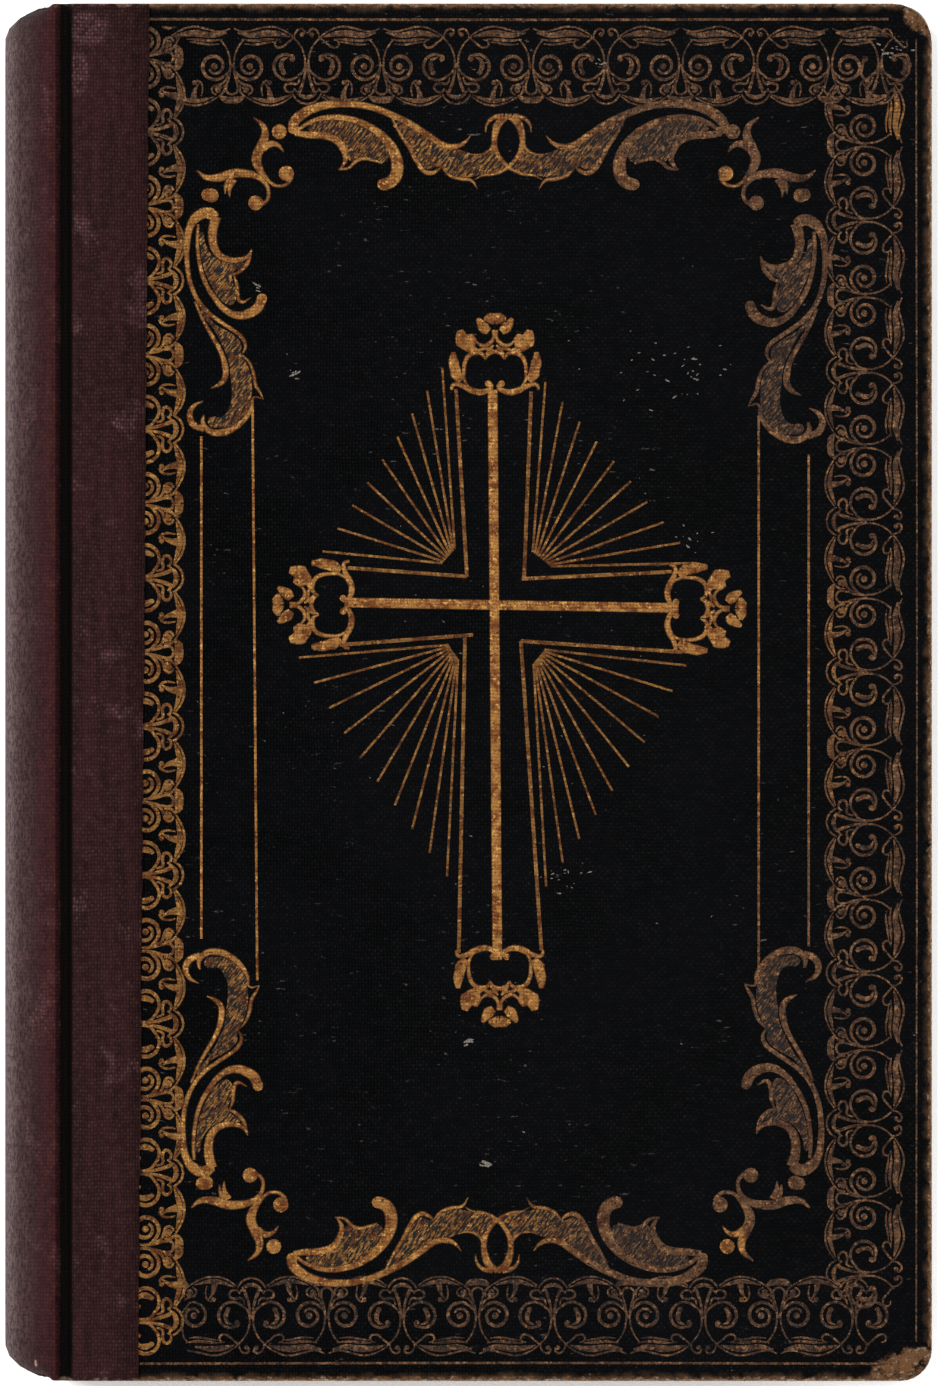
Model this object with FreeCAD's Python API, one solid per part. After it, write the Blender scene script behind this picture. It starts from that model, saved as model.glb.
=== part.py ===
import FreeCAD, Part
import math
import os

# A sewn prayer book in a cloth case, lying on its back cover.
# Millimetres. +Z runs from the back cover to the front cover, +Y to the head and +X to the
# fore-edge, so the spine is at -X. The origin is the centre of the bounding box's underside.

# ---- the case ----
book_height = 175.0          # head to tail, over the boards
book_width = 118.0           # spine to fore-edge
board_thickness = 2.4
corner_radius = 4.0          # worn fore-edge corners, seen on the cover
side_cloth = 0.3             # black cloth on the sides
spine_cloth = 0.5            # maroon cloth of the spine, its joints and its strips
turned_cloth = 0.3           # either cloth, pressed thin round an edge and under a pastedown
turn_in = 12.0               # how far the cloth is turned in over a board or the spine
strip_at_head = 9.9          # width of the maroon strip on a board, at the head
strip_at_tail = 8.5          # the strip is cut a little out of true
groove_width = 2.2           # joint groove between the spine and a board
groove_depth = 2.0
spine_bulge = 6.5            # how far the rounded spine stands out past the grooves
spine_drop = 0.6             # the spine's edges lie this much below the covers' faces
stiffener = 0.8              # card inside the spine cloth
hollow = 0.6                 # between the card and the spine's lining

# ---- the text block ----
square = 3.0                 # how far the boards stand past the leaves
section_count = 24
section_thickness = 1.0      # eight folded leaves
section_gap = 0.04
flyleaf = 0.15
pastedown = 0.15
leaf_gap = 0.05              # between a flyleaf and the sections
cover_gap = 0.1              # between a pastedown and its flyleaf
paper_lining = 0.2
mull = 0.3
tape = 0.4
lining_inset = 0.8           # the lining stops short of the head and the tail
mull_inset = 12.0
tape_width = 10.0
tape_pitch = 45.0
slip_length = 20.0           # each tape's end, glued to a board
flap_length = 26.0           # the mull's side, glued to a board
kettle_inset = 9.0           # kettle stitches, from the head and the tail
kettle_thread = 0.4
band_radius = 0.8            # headband and tailband
band_inset = 1.0             # each band stops this far inside the outermost leaves

# ---- the turning leaves ----
front_turning = 6            # sections that open with the front cover
back_turning = 3             # sections that open with the back cover
turn_offset = 2.0            # where the leaves start to turn, from the hinge line
turn_gap = 0.1

# ---- places that follow from the sizes ----
half_height = book_height / 2
fore_edge = book_width / 2
groove_left = spine_bulge - fore_edge
board_edge = groove_left + groove_width
board_core_edge = board_edge + turned_cloth
hinge_x = groove_left + groove_width / 2
turn_start = hinge_x + turn_offset

board_low = spine_cloth
board_high = board_low + board_thickness
lining_high = board_high + turned_cloth
pastedown_high = lining_high + pastedown
flyleaf_low = pastedown_high + cover_gap
block_low = flyleaf_low + flyleaf + leaf_gap
section_pitch = section_thickness + section_gap
block_high = block_low + section_count * section_pitch - section_gap
book_thickness = block_high + block_low
mid_z = book_thickness / 2

leaf_half_height = half_height - square
leaf_fore_edge = fore_edge - square

# The spine's outer face is an arc through both of its edges, and every layer inside shares its centre.
half_chord = mid_z - spine_drop
spine_radius = (half_chord ** 2 + spine_bulge ** 2) / (2 * spine_bulge)
spine_centre_x = spine_radius - fore_edge
card_radius = spine_radius - spine_cloth
hollow_radius = card_radius - stiffener
lining_radius = hollow_radius - hollow
mull_radius = lining_radius - paper_lining
tape_radius = mull_radius - mull
fold_radius = tape_radius - tape

margin = 5.0                 # cutting solids run this far past what they cut


def box(x, y, z):
    """A box between two limits along each axis."""
    corner = FreeCAD.Vector(x[0], y[0], z[0])
    return Part.makeBox(x[1] - x[0], y[1] - y[0], z[1] - z[0], corner)


def centred(half):
    return -half, half


def prism(points, z):
    """An upright prism over a plan outline."""
    corners = [FreeCAD.Vector(px, py, z[0]) for px, py in points]
    face = Part.Face(Part.makePolygon(corners + corners[:1]))
    return face.extrude(FreeCAD.Vector(0, 0, z[1] - z[0]))


def spine_cylinder(radius, y):
    """A full cylinder about the spine's centre line."""
    base = FreeCAD.Vector(spine_centre_x, y[0], mid_z)
    return Part.makeCylinder(radius, y[1] - y[0], base, FreeCAD.Vector(0, 1, 0))


def spine_layer(inner, outer, y, x_limit, z):
    """A curved layer of the spine, left of x_limit and between two heights."""
    ring = spine_cylinder(outer, y).cut(spine_cylinder(inner, y))
    keep = box((-fore_edge - margin, x_limit), y, z)
    return ring.common(keep)


def rounded_slab(x, half_y, z, radius):
    """A slab whose two fore-edge corners are round in plan."""
    slab = box(x, centred(half_y), z)
    corners = [e for e in slab.Edges
               if e.BoundBox.XMin > x[1] - 0.001 and e.BoundBox.ZLength > e.BoundBox.YLength]
    return slab.makeFillet(radius, corners)


def to_front(shape):
    """The front cover's copy of a piece made for the back cover."""
    return shape.mirror(FreeCAD.Vector(0, 0, mid_z), FreeCAD.Vector(0, 0, 1))


def strip_zone():
    """Everything on the spine's side of the strip's slanting edge."""
    head = board_edge + strip_at_head
    tail = board_edge + strip_at_tail
    slope = (head - tail) / book_height
    reach = half_height + margin
    middle = (head + tail) / 2
    left = -fore_edge - margin
    slant = [(middle - slope * reach, -reach), (middle + slope * reach, reach)]
    return prism([(left, -reach)] + slant + [(left, reach)], (-margin, book_thickness))


def board():
    x = (board_core_edge, fore_edge - side_cloth)
    return rounded_slab(x, half_height - turned_cloth, (board_low, board_high), corner_radius - side_cloth)


def turn_in_window():
    """The opening that the turned-in cloth leaves on the inside of a board."""
    x = (-fore_edge - margin, fore_edge - turn_in)
    return box(x, centred(half_height - turn_in), (board_high, lining_high + margin))


def board_cloth():
    x = (board_core_edge, fore_edge)
    outer = rounded_slab(x, half_height, (board_low - side_cloth, lining_high), corner_radius)
    return outer.cut(board()).cut(turn_in_window()).cut(strip_zone())


def cloth_strip():
    outer = box((board_edge, 0), centred(half_height), (0, lining_high))
    return outer.cut(board()).cut(turn_in_window()).common(strip_zone())


def pastedown_leaf():
    x = (board_core_edge, leaf_fore_edge)
    return box(x, centred(leaf_half_height), (lining_high, pastedown_high))


def joint_cloth():
    z = (groove_depth, groove_depth + spine_cloth)
    return box((groove_left, board_edge), centred(half_height), z)


def tape_places():
    return [-tape_pitch, 0, tape_pitch]


def tape_slips():
    x = (board_core_edge, board_core_edge + slip_length)
    z = (board_high, lining_high)
    return Part.makeCompound([box(x, (y - tape_width / 2, y + tape_width / 2), z) for y in tape_places()])


def mull_flap():
    x = (board_core_edge, board_core_edge + flap_length)
    flap = box(x, centred(leaf_half_height - mull_inset), (board_high, lining_high))
    return flap.cut(tape_slips())


def flyleaf_sheet():
    return box((turn_start, leaf_fore_edge), centred(leaf_half_height), (flyleaf_low, flyleaf_low + flyleaf))


def section_low(number):
    return block_low + (number - 1) * section_pitch


def fold_centre(number):
    """Where a section's round fold is centred, so that it touches the tapes' arc."""
    rise = section_low(number) + section_thickness / 2 - mid_z
    return spine_centre_x - math.sqrt((fold_radius - section_thickness / 2) ** 2 - rise ** 2)


def section(number):
    """Eight leaves folded as one: a slab with a round fold, equally wide in every section."""
    z = (section_low(number), section_low(number) + section_thickness)
    width = leaf_fore_edge - fold_centre(section_count)
    slab = box((fold_centre(number), fold_centre(number) + width), centred(leaf_half_height), z)
    base = FreeCAD.Vector(fold_centre(number), -leaf_half_height, z[0] + section_thickness / 2)
    fold = Part.makeCylinder(section_thickness / 2, 2 * leaf_half_height, base, FreeCAD.Vector(0, 1, 0))
    return slab.fuse(fold).removeSplitter()


def section_part(number, x):
    reach = centred(half_height)
    return section(number).common(box(x, reach, (0, book_thickness)))


def spine_cover():
    """The maroon cloth round the spine card, down both grooves' walls and turned in at each end."""
    everywhere = (-margin, book_thickness + margin)
    inner_edge = groove_left - spine_cloth
    joint_z = groove_depth + spine_cloth
    cloth = spine_layer(hollow_radius, spine_radius, centred(half_height), groove_left, everywhere)
    cloth = cloth.cut(spine_card())
    open_side = box((inner_edge, groove_left), centred(half_height), (joint_z, book_thickness - joint_z))
    cloth = cloth.cut(open_side)
    for side in (-1, 1):
        ends = sorted((side * half_height, side * (half_height - turn_in)))
        turned = spine_layer(hollow_radius - spine_cloth, hollow_radius, ends, inner_edge, everywhere)
        cloth = cloth.fuse(turned)
    return cloth.removeSplitter()


def spine_card():
    everywhere = (-margin, book_thickness + margin)
    y = centred(half_height - spine_cloth)
    return spine_layer(hollow_radius, card_radius, y, groove_left - spine_cloth, everywhere)


def block_layer(inner, outer, y):
    """A layer glued over the folds, from the back shoulder to the front one."""
    return spine_layer(inner, outer, y, spine_centre_x, (block_low, block_high))


def sewing_tape(y):
    return block_layer(fold_radius, tape_radius, (y - tape_width / 2, y + tape_width / 2))


def kettle_stitches():
    rows = []
    for side in (-1, 1):
        y = side * (leaf_half_height - kettle_inset)
        rows.append(block_layer(fold_radius, fold_radius + kettle_thread, (y, y + kettle_thread)))
    return Part.makeCompound(rows)


def band(side):
    """A headband or tailband: a round cord laid along the ends of the folds."""
    arc_radius = fold_radius - band_radius - kettle_thread
    half_angle = math.degrees(math.asin((block_high - band_inset - mid_z) / arc_radius))
    centre = FreeCAD.Vector(spine_centre_x, side * (leaf_half_height + band_radius), mid_z)
    start = centre - FreeCAD.Vector(arc_radius, 0, 0)
    circle = Part.Circle(start, FreeCAD.Vector(0, 0, 1), band_radius)
    face = Part.Face(Part.Wire(circle.toShape()))
    face.rotate(centre, FreeCAD.Vector(0, 1, 0), -half_angle)
    return face.revolve(centre, FreeCAD.Vector(0, 1, 0), 2 * half_angle)


def cover_pieces():
    """The pieces of one cover, named without the side they are on."""
    return {
        "board": board(),
        "board_cloth": board_cloth(),
        "cloth_strip": cloth_strip(),
        "joint_cloth": joint_cloth(),
        "mull_flap": mull_flap(),
        "tape_slips": tape_slips(),
        "pastedown": pastedown_leaf(),
        "flyleaf": flyleaf_sheet(),
    }


def turning(number):
    return number <= back_turning or number > section_count - front_turning


def pieces():
    made = {}
    for name, shape in cover_pieces().items():
        made["back_" + name] = shape
        made["front_" + name] = to_front(shape)
    for number in range(1, section_count + 1):
        name = "section_%02d" % number
        if turning(number):
            made[name + "_fold"] = section_part(number, (-fore_edge, turn_start - turn_gap))
            made[name + "_leaves"] = section_part(number, (turn_start, fore_edge))
        else:
            made[name] = section(number)
    for name, y in zip(("tail", "middle", "head"), tape_places()):
        made["sewing_tape_" + name] = sewing_tape(y)
    made["kettle_stitches"] = kettle_stitches()
    made["mull_lining"] = block_layer(tape_radius, mull_radius, centred(leaf_half_height - mull_inset))
    made["paper_lining"] = block_layer(mull_radius, lining_radius, centred(leaf_half_height - lining_inset))
    made["spine_card"] = spine_card()
    made["spine_cloth"] = spine_cover()
    made["headband"] = band(1)
    made["tailband"] = band(-1)
    return made


os.makedirs("parts", exist_ok=True)
for node, shape in pieces().items():
    shape.exportStep("parts/" + node + ".step")
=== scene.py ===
"""Builds the looks of a small prayer book in gilt black cloth with a maroon cloth spine."""

import math
import random

import bmesh
import bpy
from mathutils import Matrix, Vector


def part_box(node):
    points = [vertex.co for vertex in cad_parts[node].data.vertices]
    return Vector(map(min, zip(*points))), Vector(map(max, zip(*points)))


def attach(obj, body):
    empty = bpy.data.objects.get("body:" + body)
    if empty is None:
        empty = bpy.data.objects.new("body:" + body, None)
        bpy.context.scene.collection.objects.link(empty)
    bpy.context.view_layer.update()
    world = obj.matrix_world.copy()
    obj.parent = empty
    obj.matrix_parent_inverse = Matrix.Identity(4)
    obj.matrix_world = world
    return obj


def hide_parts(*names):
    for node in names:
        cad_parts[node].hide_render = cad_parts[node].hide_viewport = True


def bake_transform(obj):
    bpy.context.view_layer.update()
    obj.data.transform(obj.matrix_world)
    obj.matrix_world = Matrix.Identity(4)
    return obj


bl_info = {
    "name": "Prayer Book",
    "version": (1, 0, 0),
    "blender": (4, 5, 0),
    "location": "View3D > Sidebar > Prayer Book",
    "description": "Covers, gilding, leaves and endpapers of a small cloth-bound prayer book",
    "category": "Object",
}

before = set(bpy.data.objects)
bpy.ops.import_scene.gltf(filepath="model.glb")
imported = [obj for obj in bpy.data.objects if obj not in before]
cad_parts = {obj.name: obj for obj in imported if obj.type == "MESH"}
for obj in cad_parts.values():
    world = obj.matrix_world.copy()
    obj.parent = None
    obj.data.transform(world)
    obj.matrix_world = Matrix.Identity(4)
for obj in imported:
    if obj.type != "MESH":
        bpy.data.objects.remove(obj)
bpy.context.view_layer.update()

MM = 0.001
TAU = 2 * math.pi



def box_of(name):
    """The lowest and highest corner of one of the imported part's solids, in millimetres."""
    return [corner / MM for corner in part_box(name)]


# The main sizes of the binding in millimetres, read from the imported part.
CLOTH_LOW, CLOTH_HIGH = box_of("front_board_cloth")
THICK = box_of("front_cloth_strip")[1].z
MIDDLE = THICK / 2
FACE = CLOTH_HIGH.z
TURNED = CLOTH_LOW.z
FORE = CLOTH_HIGH.x
HALF_TALL = CLOTH_HIGH.y
SPINE_RADIUS = 21.76
SPINE_CENTRE = box_of("spine_cloth")[0].x + SPINE_RADIUS

# Sizes in millimetres that only the looks use.
JOINT_OUTER = -52.5
STRIP_SLANT = 0.7
STRIP_MIDDLE = -41.1
TURN_IN = 12.0
BLACK_THICK = 0.28
MAROON_THICK = 0.42
CARD_THICK = 0.7
PAPER_THICK = 0.1
LEAF_THICK = 0.085
LEAF_END = 84.5
BLACK_THREADS = (0.4, 0.46)
MAROON_THREADS = (0.38, 0.49)
SIDES = ("front", "back")


# ---- small helpers ----


def strip_edge(y):
    """Where the maroon strip ends on a cover, at the height y."""
    return STRIP_MIDDLE + STRIP_SLANT * y / HALF_TALL


def add_object(name, data):
    """A new object in the scene."""
    made = bpy.data.objects.new(name, data)
    bpy.context.scene.collection.objects.link(made)
    return made


def mesh_from(bm, name):
    """The mesh of a bmesh, which is freed."""
    mesh = bpy.data.meshes.new(name)
    bm.to_mesh(mesh)
    bm.free()
    return mesh


def everything(bm):
    """All corners, edges and faces of a bmesh."""
    return bm.verts[:] + bm.edges[:] + bm.faces[:]


def finish_mesh(bm, name, materials, smooth=35.0):
    """Turns a bmesh in millimetres into an object in metres, sharp at edges past an angle."""
    bmesh.ops.scale(bm, vec=(MM, MM, MM), verts=bm.verts)
    bm.normal_update()
    for face in bm.faces:
        face.smooth = True
    for edge in bm.edges:
        if len(edge.link_faces) == 2 and edge.calc_face_angle(0.0) > math.radians(smooth):
            edge.smooth = False
    mesh = mesh_from(bm, name)
    for material in materials:
        mesh.materials.append(material)
    return add_object(name, mesh)


def give_thickness(piece, thickness):
    """Gives an open sheet its thickness, on the side away from its faces' normals."""
    wall = piece.modifiers.new("Thickness", "SOLIDIFY")
    wall.thickness = thickness * MM
    wall.offset = -1.0
    wall.use_even_offset = True
    wall.use_quality_normals = True


def along(points, share):
    """The point at a share of the way along a line of points, measured by its length."""
    lengths = [math.dist(a, b) for a, b in zip(points, points[1:])]
    left = share * sum(lengths)
    for i, length in enumerate(lengths):
        if left <= length or i == len(lengths) - 1:
            part = min(1.0, left / length)
            return [a + (b - a) * part for a, b in zip(points[i], points[i + 1])]
        left -= length


def spread(values, share):
    """The value at a share of the way through a few evenly spread values."""
    if len(values) == 1:
        return values[0]
    place = share * (len(values) - 1)
    i = min(int(place), len(values) - 2)
    return values[i] + (values[i + 1] - values[i]) * (place - i)


# ---- finishes ----

# Places of special wear, each with its middle and its reach in millimetres: where the maroon cloth has
# been knocked pale, and where the leaf has kept its shine among the browned tooling.
KNOCKED_SPOTS = (((-48.6, 84.2, THICK), (3.6, 2.6, 2.0)), ((-49.4, 78.6, THICK), (1.5, 3.4, 2.0)))
BRIGHT_SPOTS = (
    ((33.4, -70.4, 32.1), (2.6, 4.2, 3.0)),
    ((33.6, 65.2, 32.1), (1.9, 1.9, 3.0)),
    ((35.4, -77.2, 32.1), (1.8, 1.3, 3.0)),
    ((54.4, 72.6, 32.1), (1.6, 3.4, 3.0)),
)


def tinted(colour, shares):
    """A colour with each channel multiplied by its share."""
    return [channel * share for channel, share in zip(colour, shares)]


class Finish:
    """A material in the making: one main shader, fed by nodes that work on places in millimetres."""

    def __init__(self, name, roughness, metallic=0.0, shine=0.25):
        self.material = bpy.data.materials.new(name)
        self.material.use_nodes = True
        self.tree = self.material.node_tree
        self.tree.nodes.clear()
        self.shader = self.node("BsdfPrincipled", ("Roughness", roughness), ("Metallic", metallic))
        self.give("Specular IOR Level", shine)
        self.node("OutputMaterial", ("Surface", self.shader.outputs[0]))
        metres = self.node("TexCoord").outputs["Object"]
        self.place = self.vector("MULTIPLY", metres, (1000.0, 1000.0, 1000.0)).outputs[0]
        self.parts = self.node("SeparateXYZ", ("Vector", self.place)).outputs
        self.shade = None
        self.bump = None

    def node(self, kind, *inputs, **settings):
        """Adds a node; each input is (socket, value), where the value may be another node's output."""
        made = self.tree.nodes.new("ShaderNode" + kind)
        for key, value in settings.items():
            setattr(made, key, value)
        for key, value in inputs:
            self.feed(made.inputs[key], value)
        return made

    def feed(self, socket, value):
        """Sets an input to a value, or joins it to another node's output."""
        if isinstance(value, bpy.types.NodeSocket):
            self.tree.links.new(value, socket)
        else:
            socket.default_value = value

    def give(self, key, value):
        """Feeds one of the main shader's inputs."""
        self.feed(self.shader.inputs[key], value)

    def vector(self, operation, *values):
        """A Vector Math node."""
        return self.node("VectorMath", *enumerate(values), operation=operation)

    def math(self, operation, *values):
        """The result of a Math node."""
        return self.node("Math", *enumerate(values), operation=operation).outputs[0]

    def times(self, first, *others):
        """The product of some values."""
        for other in others:
            first = self.math("MULTIPLY", first, other)
        return first

    def most(self, first, second):
        """The larger of two values."""
        return self.math("MAXIMUM", first, second)

    def ramp(self, value, low, high, to_low=0.0, to_high=1.0):
        """A smooth step of a value between two limits."""
        inputs = (("Value", value), (1, low), (2, high), (3, to_low), (4, to_high))
        return self.node("MapRange", *inputs, interpolation_type="SMOOTHSTEP").outputs[0]

    def mixed(self, share, *colours):
        """A colour between two colours; each is three numbers or another node's output."""
        ends = [c if isinstance(c, bpy.types.NodeSocket) else (*c, 1) for c in colours]
        return self.node("Mix", (0, share), (6, ends[0]), (7, ends[1]), data_type="RGBA").outputs[2]

    def lay(self, share, colour, under=None):
        """Lays a share of a colour over what is there, or over another colour to begin with."""
        self.shade = self.mixed(share, self.shade if under is None else under, colour)
        self.give("Base Color", self.shade)

    def noise(self, scale, detail=4.0, rough=0.55, stretch=(1, 1, 1), place=None):
        """Soft random values; scale is in spots a millimetre."""
        place = self.place if place is None else place
        moved = self.node("Mapping", ("Vector", place), ("Scale", stretch)).outputs[0]
        inputs = (("Vector", moved), ("Scale", scale), ("Detail", detail), ("Roughness", rough))
        return self.node("TexNoise", *inputs).outputs["Fac"]

    def raised(self, height, depth, strength=1.0):
        """Adds a bump of the given depth in millimetres over the bumps that are there."""
        inputs = [("Height", height), ("Distance", depth * MM), ("Strength", strength)]
        if self.bump is not None:
            inputs.append(("Normal", self.bump))
        self.bump = self.node("Bump", *inputs).outputs[0]
        self.give("Normal", self.bump)

    def weave(self, across, down):
        """Height and parity of a plain weave with the given thread spacings, slightly wandering."""
        wander = self.noise(0.35, 2.0)
        waves = []
        for axis, pitch in enumerate((across, down)):
            moved = self.math("MULTIPLY_ADD", wander, pitch * 1.6, self.parts[axis])
            waves.append(self.math("SINE", self.times(moved, math.pi / pitch)))
        product = self.times(*waves)
        height = self.math("POWER", self.math("ABSOLUTE", product), 0.55)
        return height, self.ramp(product, -0.3, 0.3)

    def edge_nearness(self, reach):
        """One at the covers' head, tail and fore edges, fading to nothing over the given reach."""
        head = self.ramp(self.math("ABSOLUTE", self.parts[1]), HALF_TALL - reach, HALF_TALL)
        return self.most(head, self.ramp(self.parts[0], FORE - reach, FORE))

    def spot(self, middle, reach):
        """One inside an egg-shaped spot round a middle, fading out at its reach."""
        near = self.vector("SUBTRACT", self.place, middle).outputs[0]
        scaled = self.vector("DIVIDE", near, reach).outputs[0]
        return self.ramp(self.vector("LENGTH", scaled).outputs["Value"], 1.0, 0.6)


def black_cloth_finish(sizes):
    """Fine black cloth, rubbed to brown along its edges and specked with pale threads."""
    f = Finish("black_cloth", 0.62, shine=0.015)
    height, parity = f.weave(*BLACK_THREADS)
    cloudy = f.noise(0.06, 5.0)
    f.lay(f.ramp(cloudy, 0.3, 0.7), sizes.black_colour, (0.0004, 0.0005, 0.0006))
    uneven = f.ramp(f.noise(1.3, 4.0, 0.7, (0.6, 1.1, 1.0)), 0.4, 0.7, 0.1, 1.0)
    threads = f.times(height, f.ramp(parity, 0.0, 1.0, 0.3, 1.0), uneven)
    # The crowns of the threads are painted lighter: painted highlight on the weave.
    f.lay(f.times(threads, 0.6), (0.0064, 0.0063, 0.0072))
    pale_marks = f.ramp(f.noise(1.15, 3.0, 0.7, (0.5, 1.7, 1.0)), 0.66, 0.74)
    patches = f.ramp(f.noise(0.045, 3.0), 0.4, 0.66)
    f.lay(f.times(pale_marks, patches, 0.7), (0.1, 0.094, 0.088))
    wear_black_edges(f)
    f.raised(f.noise(0.12, 3.0), 0.12)
    f.raised(height, 0.06)
    f.give("Roughness", f.ramp(cloudy, 0.3, 0.75, 0.52, 0.74))
    return f.material


def wear_black_edges(f):
    """Rubs the black cloth brown near its edges, and bare on the edges and at the two fore corners."""
    rubbed = f.times(f.edge_nearness(2.6), f.noise(0.55, 5.0))
    f.lay(f.ramp(rubbed, 0.26, 0.66), (0.036, 0.02, 0.012))
    from_middle = f.math("ABSOLUTE", f.math("SUBTRACT", f.parts[2], MIDDLE))
    arris = f.ramp(from_middle, FACE - MIDDLE - 1.7, FACE - MIDDLE - 0.2)
    bare = f.times(f.edge_nearness(0.7), f.noise(0.9, 5.0), arris)
    f.lay(f.ramp(bare, 0.33, 0.56), (0.26, 0.185, 0.115))
    flaked = f.noise(0.85, 6.0, 0.75)
    rim = f.times(f.edge_nearness(1.7), flaked, arris)
    tail_corner = f.spot((58.0, -88.2, FACE), (10.0, 7.0, 4.0))
    head_corner = f.spot((60.0, 86.5, FACE), (6.5, 4.5, 4.0))
    corner = f.times(f.most(tail_corner, head_corner), flaked)
    tan = f.mixed(f.ramp(f.noise(1.6, 4.0), 0.54, 0.68), (0.098, 0.046, 0.02), (0.21, 0.165, 0.12))
    f.lay(f.times(f.ramp(f.most(rim, corner), 0.34, 0.54), 0.85), tan)


def maroon_cloth_finish(sizes):
    """Maroon book cloth with its threads rubbed paler, painted highlight on its thread crowns and spine,
    painted shade in its joint, and wear at its ends.
    """
    f = Finish("maroon_cloth", 0.74, shine=0.04)
    height, parity = f.weave(*MAROON_THREADS)
    streaks = f.noise(0.5, 6.0, 0.6, (1.6, 0.12, 1.6))
    f.lay(f.ramp(streaks, 0.3, 0.72), sizes.maroon_colour, (0.0055, 0.0018, 0.002))
    uneven = f.ramp(f.noise(0.9, 5.0, 0.75), 0.34, 0.68, 0.1, 1.0)
    threads = f.times(height, f.ramp(parity, 0.0, 1.0, 0.62, 1.0), uneven)
    # The crowns of the threads are painted lighter: painted highlight on the weave.
    f.lay(f.times(threads, 0.75), (0.044, 0.0165, 0.0165))
    knocked = f.ramp(f.noise(0.16, 4.0, 0.6), 0.56, 0.7)
    for middle, reach in KNOCKED_SPOTS:
        knocked = f.most(knocked, f.spot(middle, reach))
    f.lay(f.times(threads, knocked, 0.6), (0.13, 0.062, 0.062))
    redden_edge(f, threads)
    ragged = f.math("MULTIPLY_ADD", f.noise(0.5, 3.0), 1.6, f.parts[0])
    spine = f.ramp(ragged, -53.0, -57.2)
    pebbles = f.noise(2.4, 2.0, 0.5, (1.0, 0.55, 0.7))
    paint_spine_highlights(f, spine, pebbles)
    shade_joint_and_wear_ends(f)
    f.raised(f.noise(0.28, 5.0, 0.55, (1.7, 0.16, 1.7)), 0.22, 0.9)
    f.raised(f.noise(1.5, 4.0, 0.6, (1.0, 0.75, 1.0)), 0.16, 0.9)
    f.raised(f.times(pebbles, spine), 0.8)
    f.raised(height, 0.08)
    return f.material


def redden_edge(f, threads):
    """Leaves the cloth redder between the joint and the spine, where less light has reached it."""
    band = f.times(f.ramp(f.parts[0], -55.6, -54.0), f.ramp(f.parts[0], -51.6, -52.3))
    patchy = f.ramp(f.noise(1.7, 4.0, 0.7), 0.3, 0.7, 0.1, 1.0)
    band = f.times(band, patchy, f.ramp(threads, 0.0, 0.7, 0.35, 1.0))
    f.lay(f.times(band, 0.9), (0.042, 0.0075, 0.0085))


def paint_spine_highlights(f, spine, pebbles):
    """Paints highlight on the spine's pebbled cloth, on the pebbles' peaks in patches and most of all along
    its shoulder.
    """
    # Painted highlight on the peaks of the pebbles, patchy over the spine.
    pale_marks = f.times(spine, f.ramp(f.noise(0.3, 5.0), 0.25, 0.75, 0.45, 1.0))
    pale_marks = f.times(pale_marks, f.ramp(pebbles, 0.38, 0.62, 0.25, 1.0))
    f.lay(f.times(pale_marks, 0.85), (0.078, 0.044, 0.042))
    # Painted highlight along the spine's shoulder, where it rounds towards the light from the left.
    shoulder_highlight = f.times(f.ramp(f.parts[0], -56.8, -58.8), f.ramp(f.parts[2], 8.0, 20.0))
    shoulder_highlight = f.times(shoulder_highlight, f.ramp(pebbles, 0.35, 0.65, 0.35, 1.0))
    f.lay(f.times(shoulder_highlight, 0.6), (0.17, 0.125, 0.122))


def shade_joint_and_wear_ends(f):
    """Paints shade into the bottom of the joint, and rubs the head and tail of the cloth pale."""
    # Painted shade in the groove of the joint.
    joint = f.times(f.ramp(f.parts[0], -52.1, -51.5), f.ramp(f.parts[0], -50.0, -50.35))
    f.lay(f.times(joint, 0.97), (0.0006, 0.0003, 0.0003))
    ends = f.ramp(f.math("ABSOLUTE", f.parts[1]), HALF_TALL - 1.6, HALF_TALL)
    rubbed = f.times(ends, f.noise(0.8, 5.0))
    f.lay(f.ramp(rubbed, 0.4, 0.7, 0.0, 0.7), (0.2, 0.12, 0.085))
    bare = f.spot((-55.0, -85.6, 28.9), (0.4, 0.9, 1.6))
    f.lay(f.times(bare, f.ramp(f.noise(2.4, 3.0), 0.35, 0.55)), (0.3, 0.21, 0.15))


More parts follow.
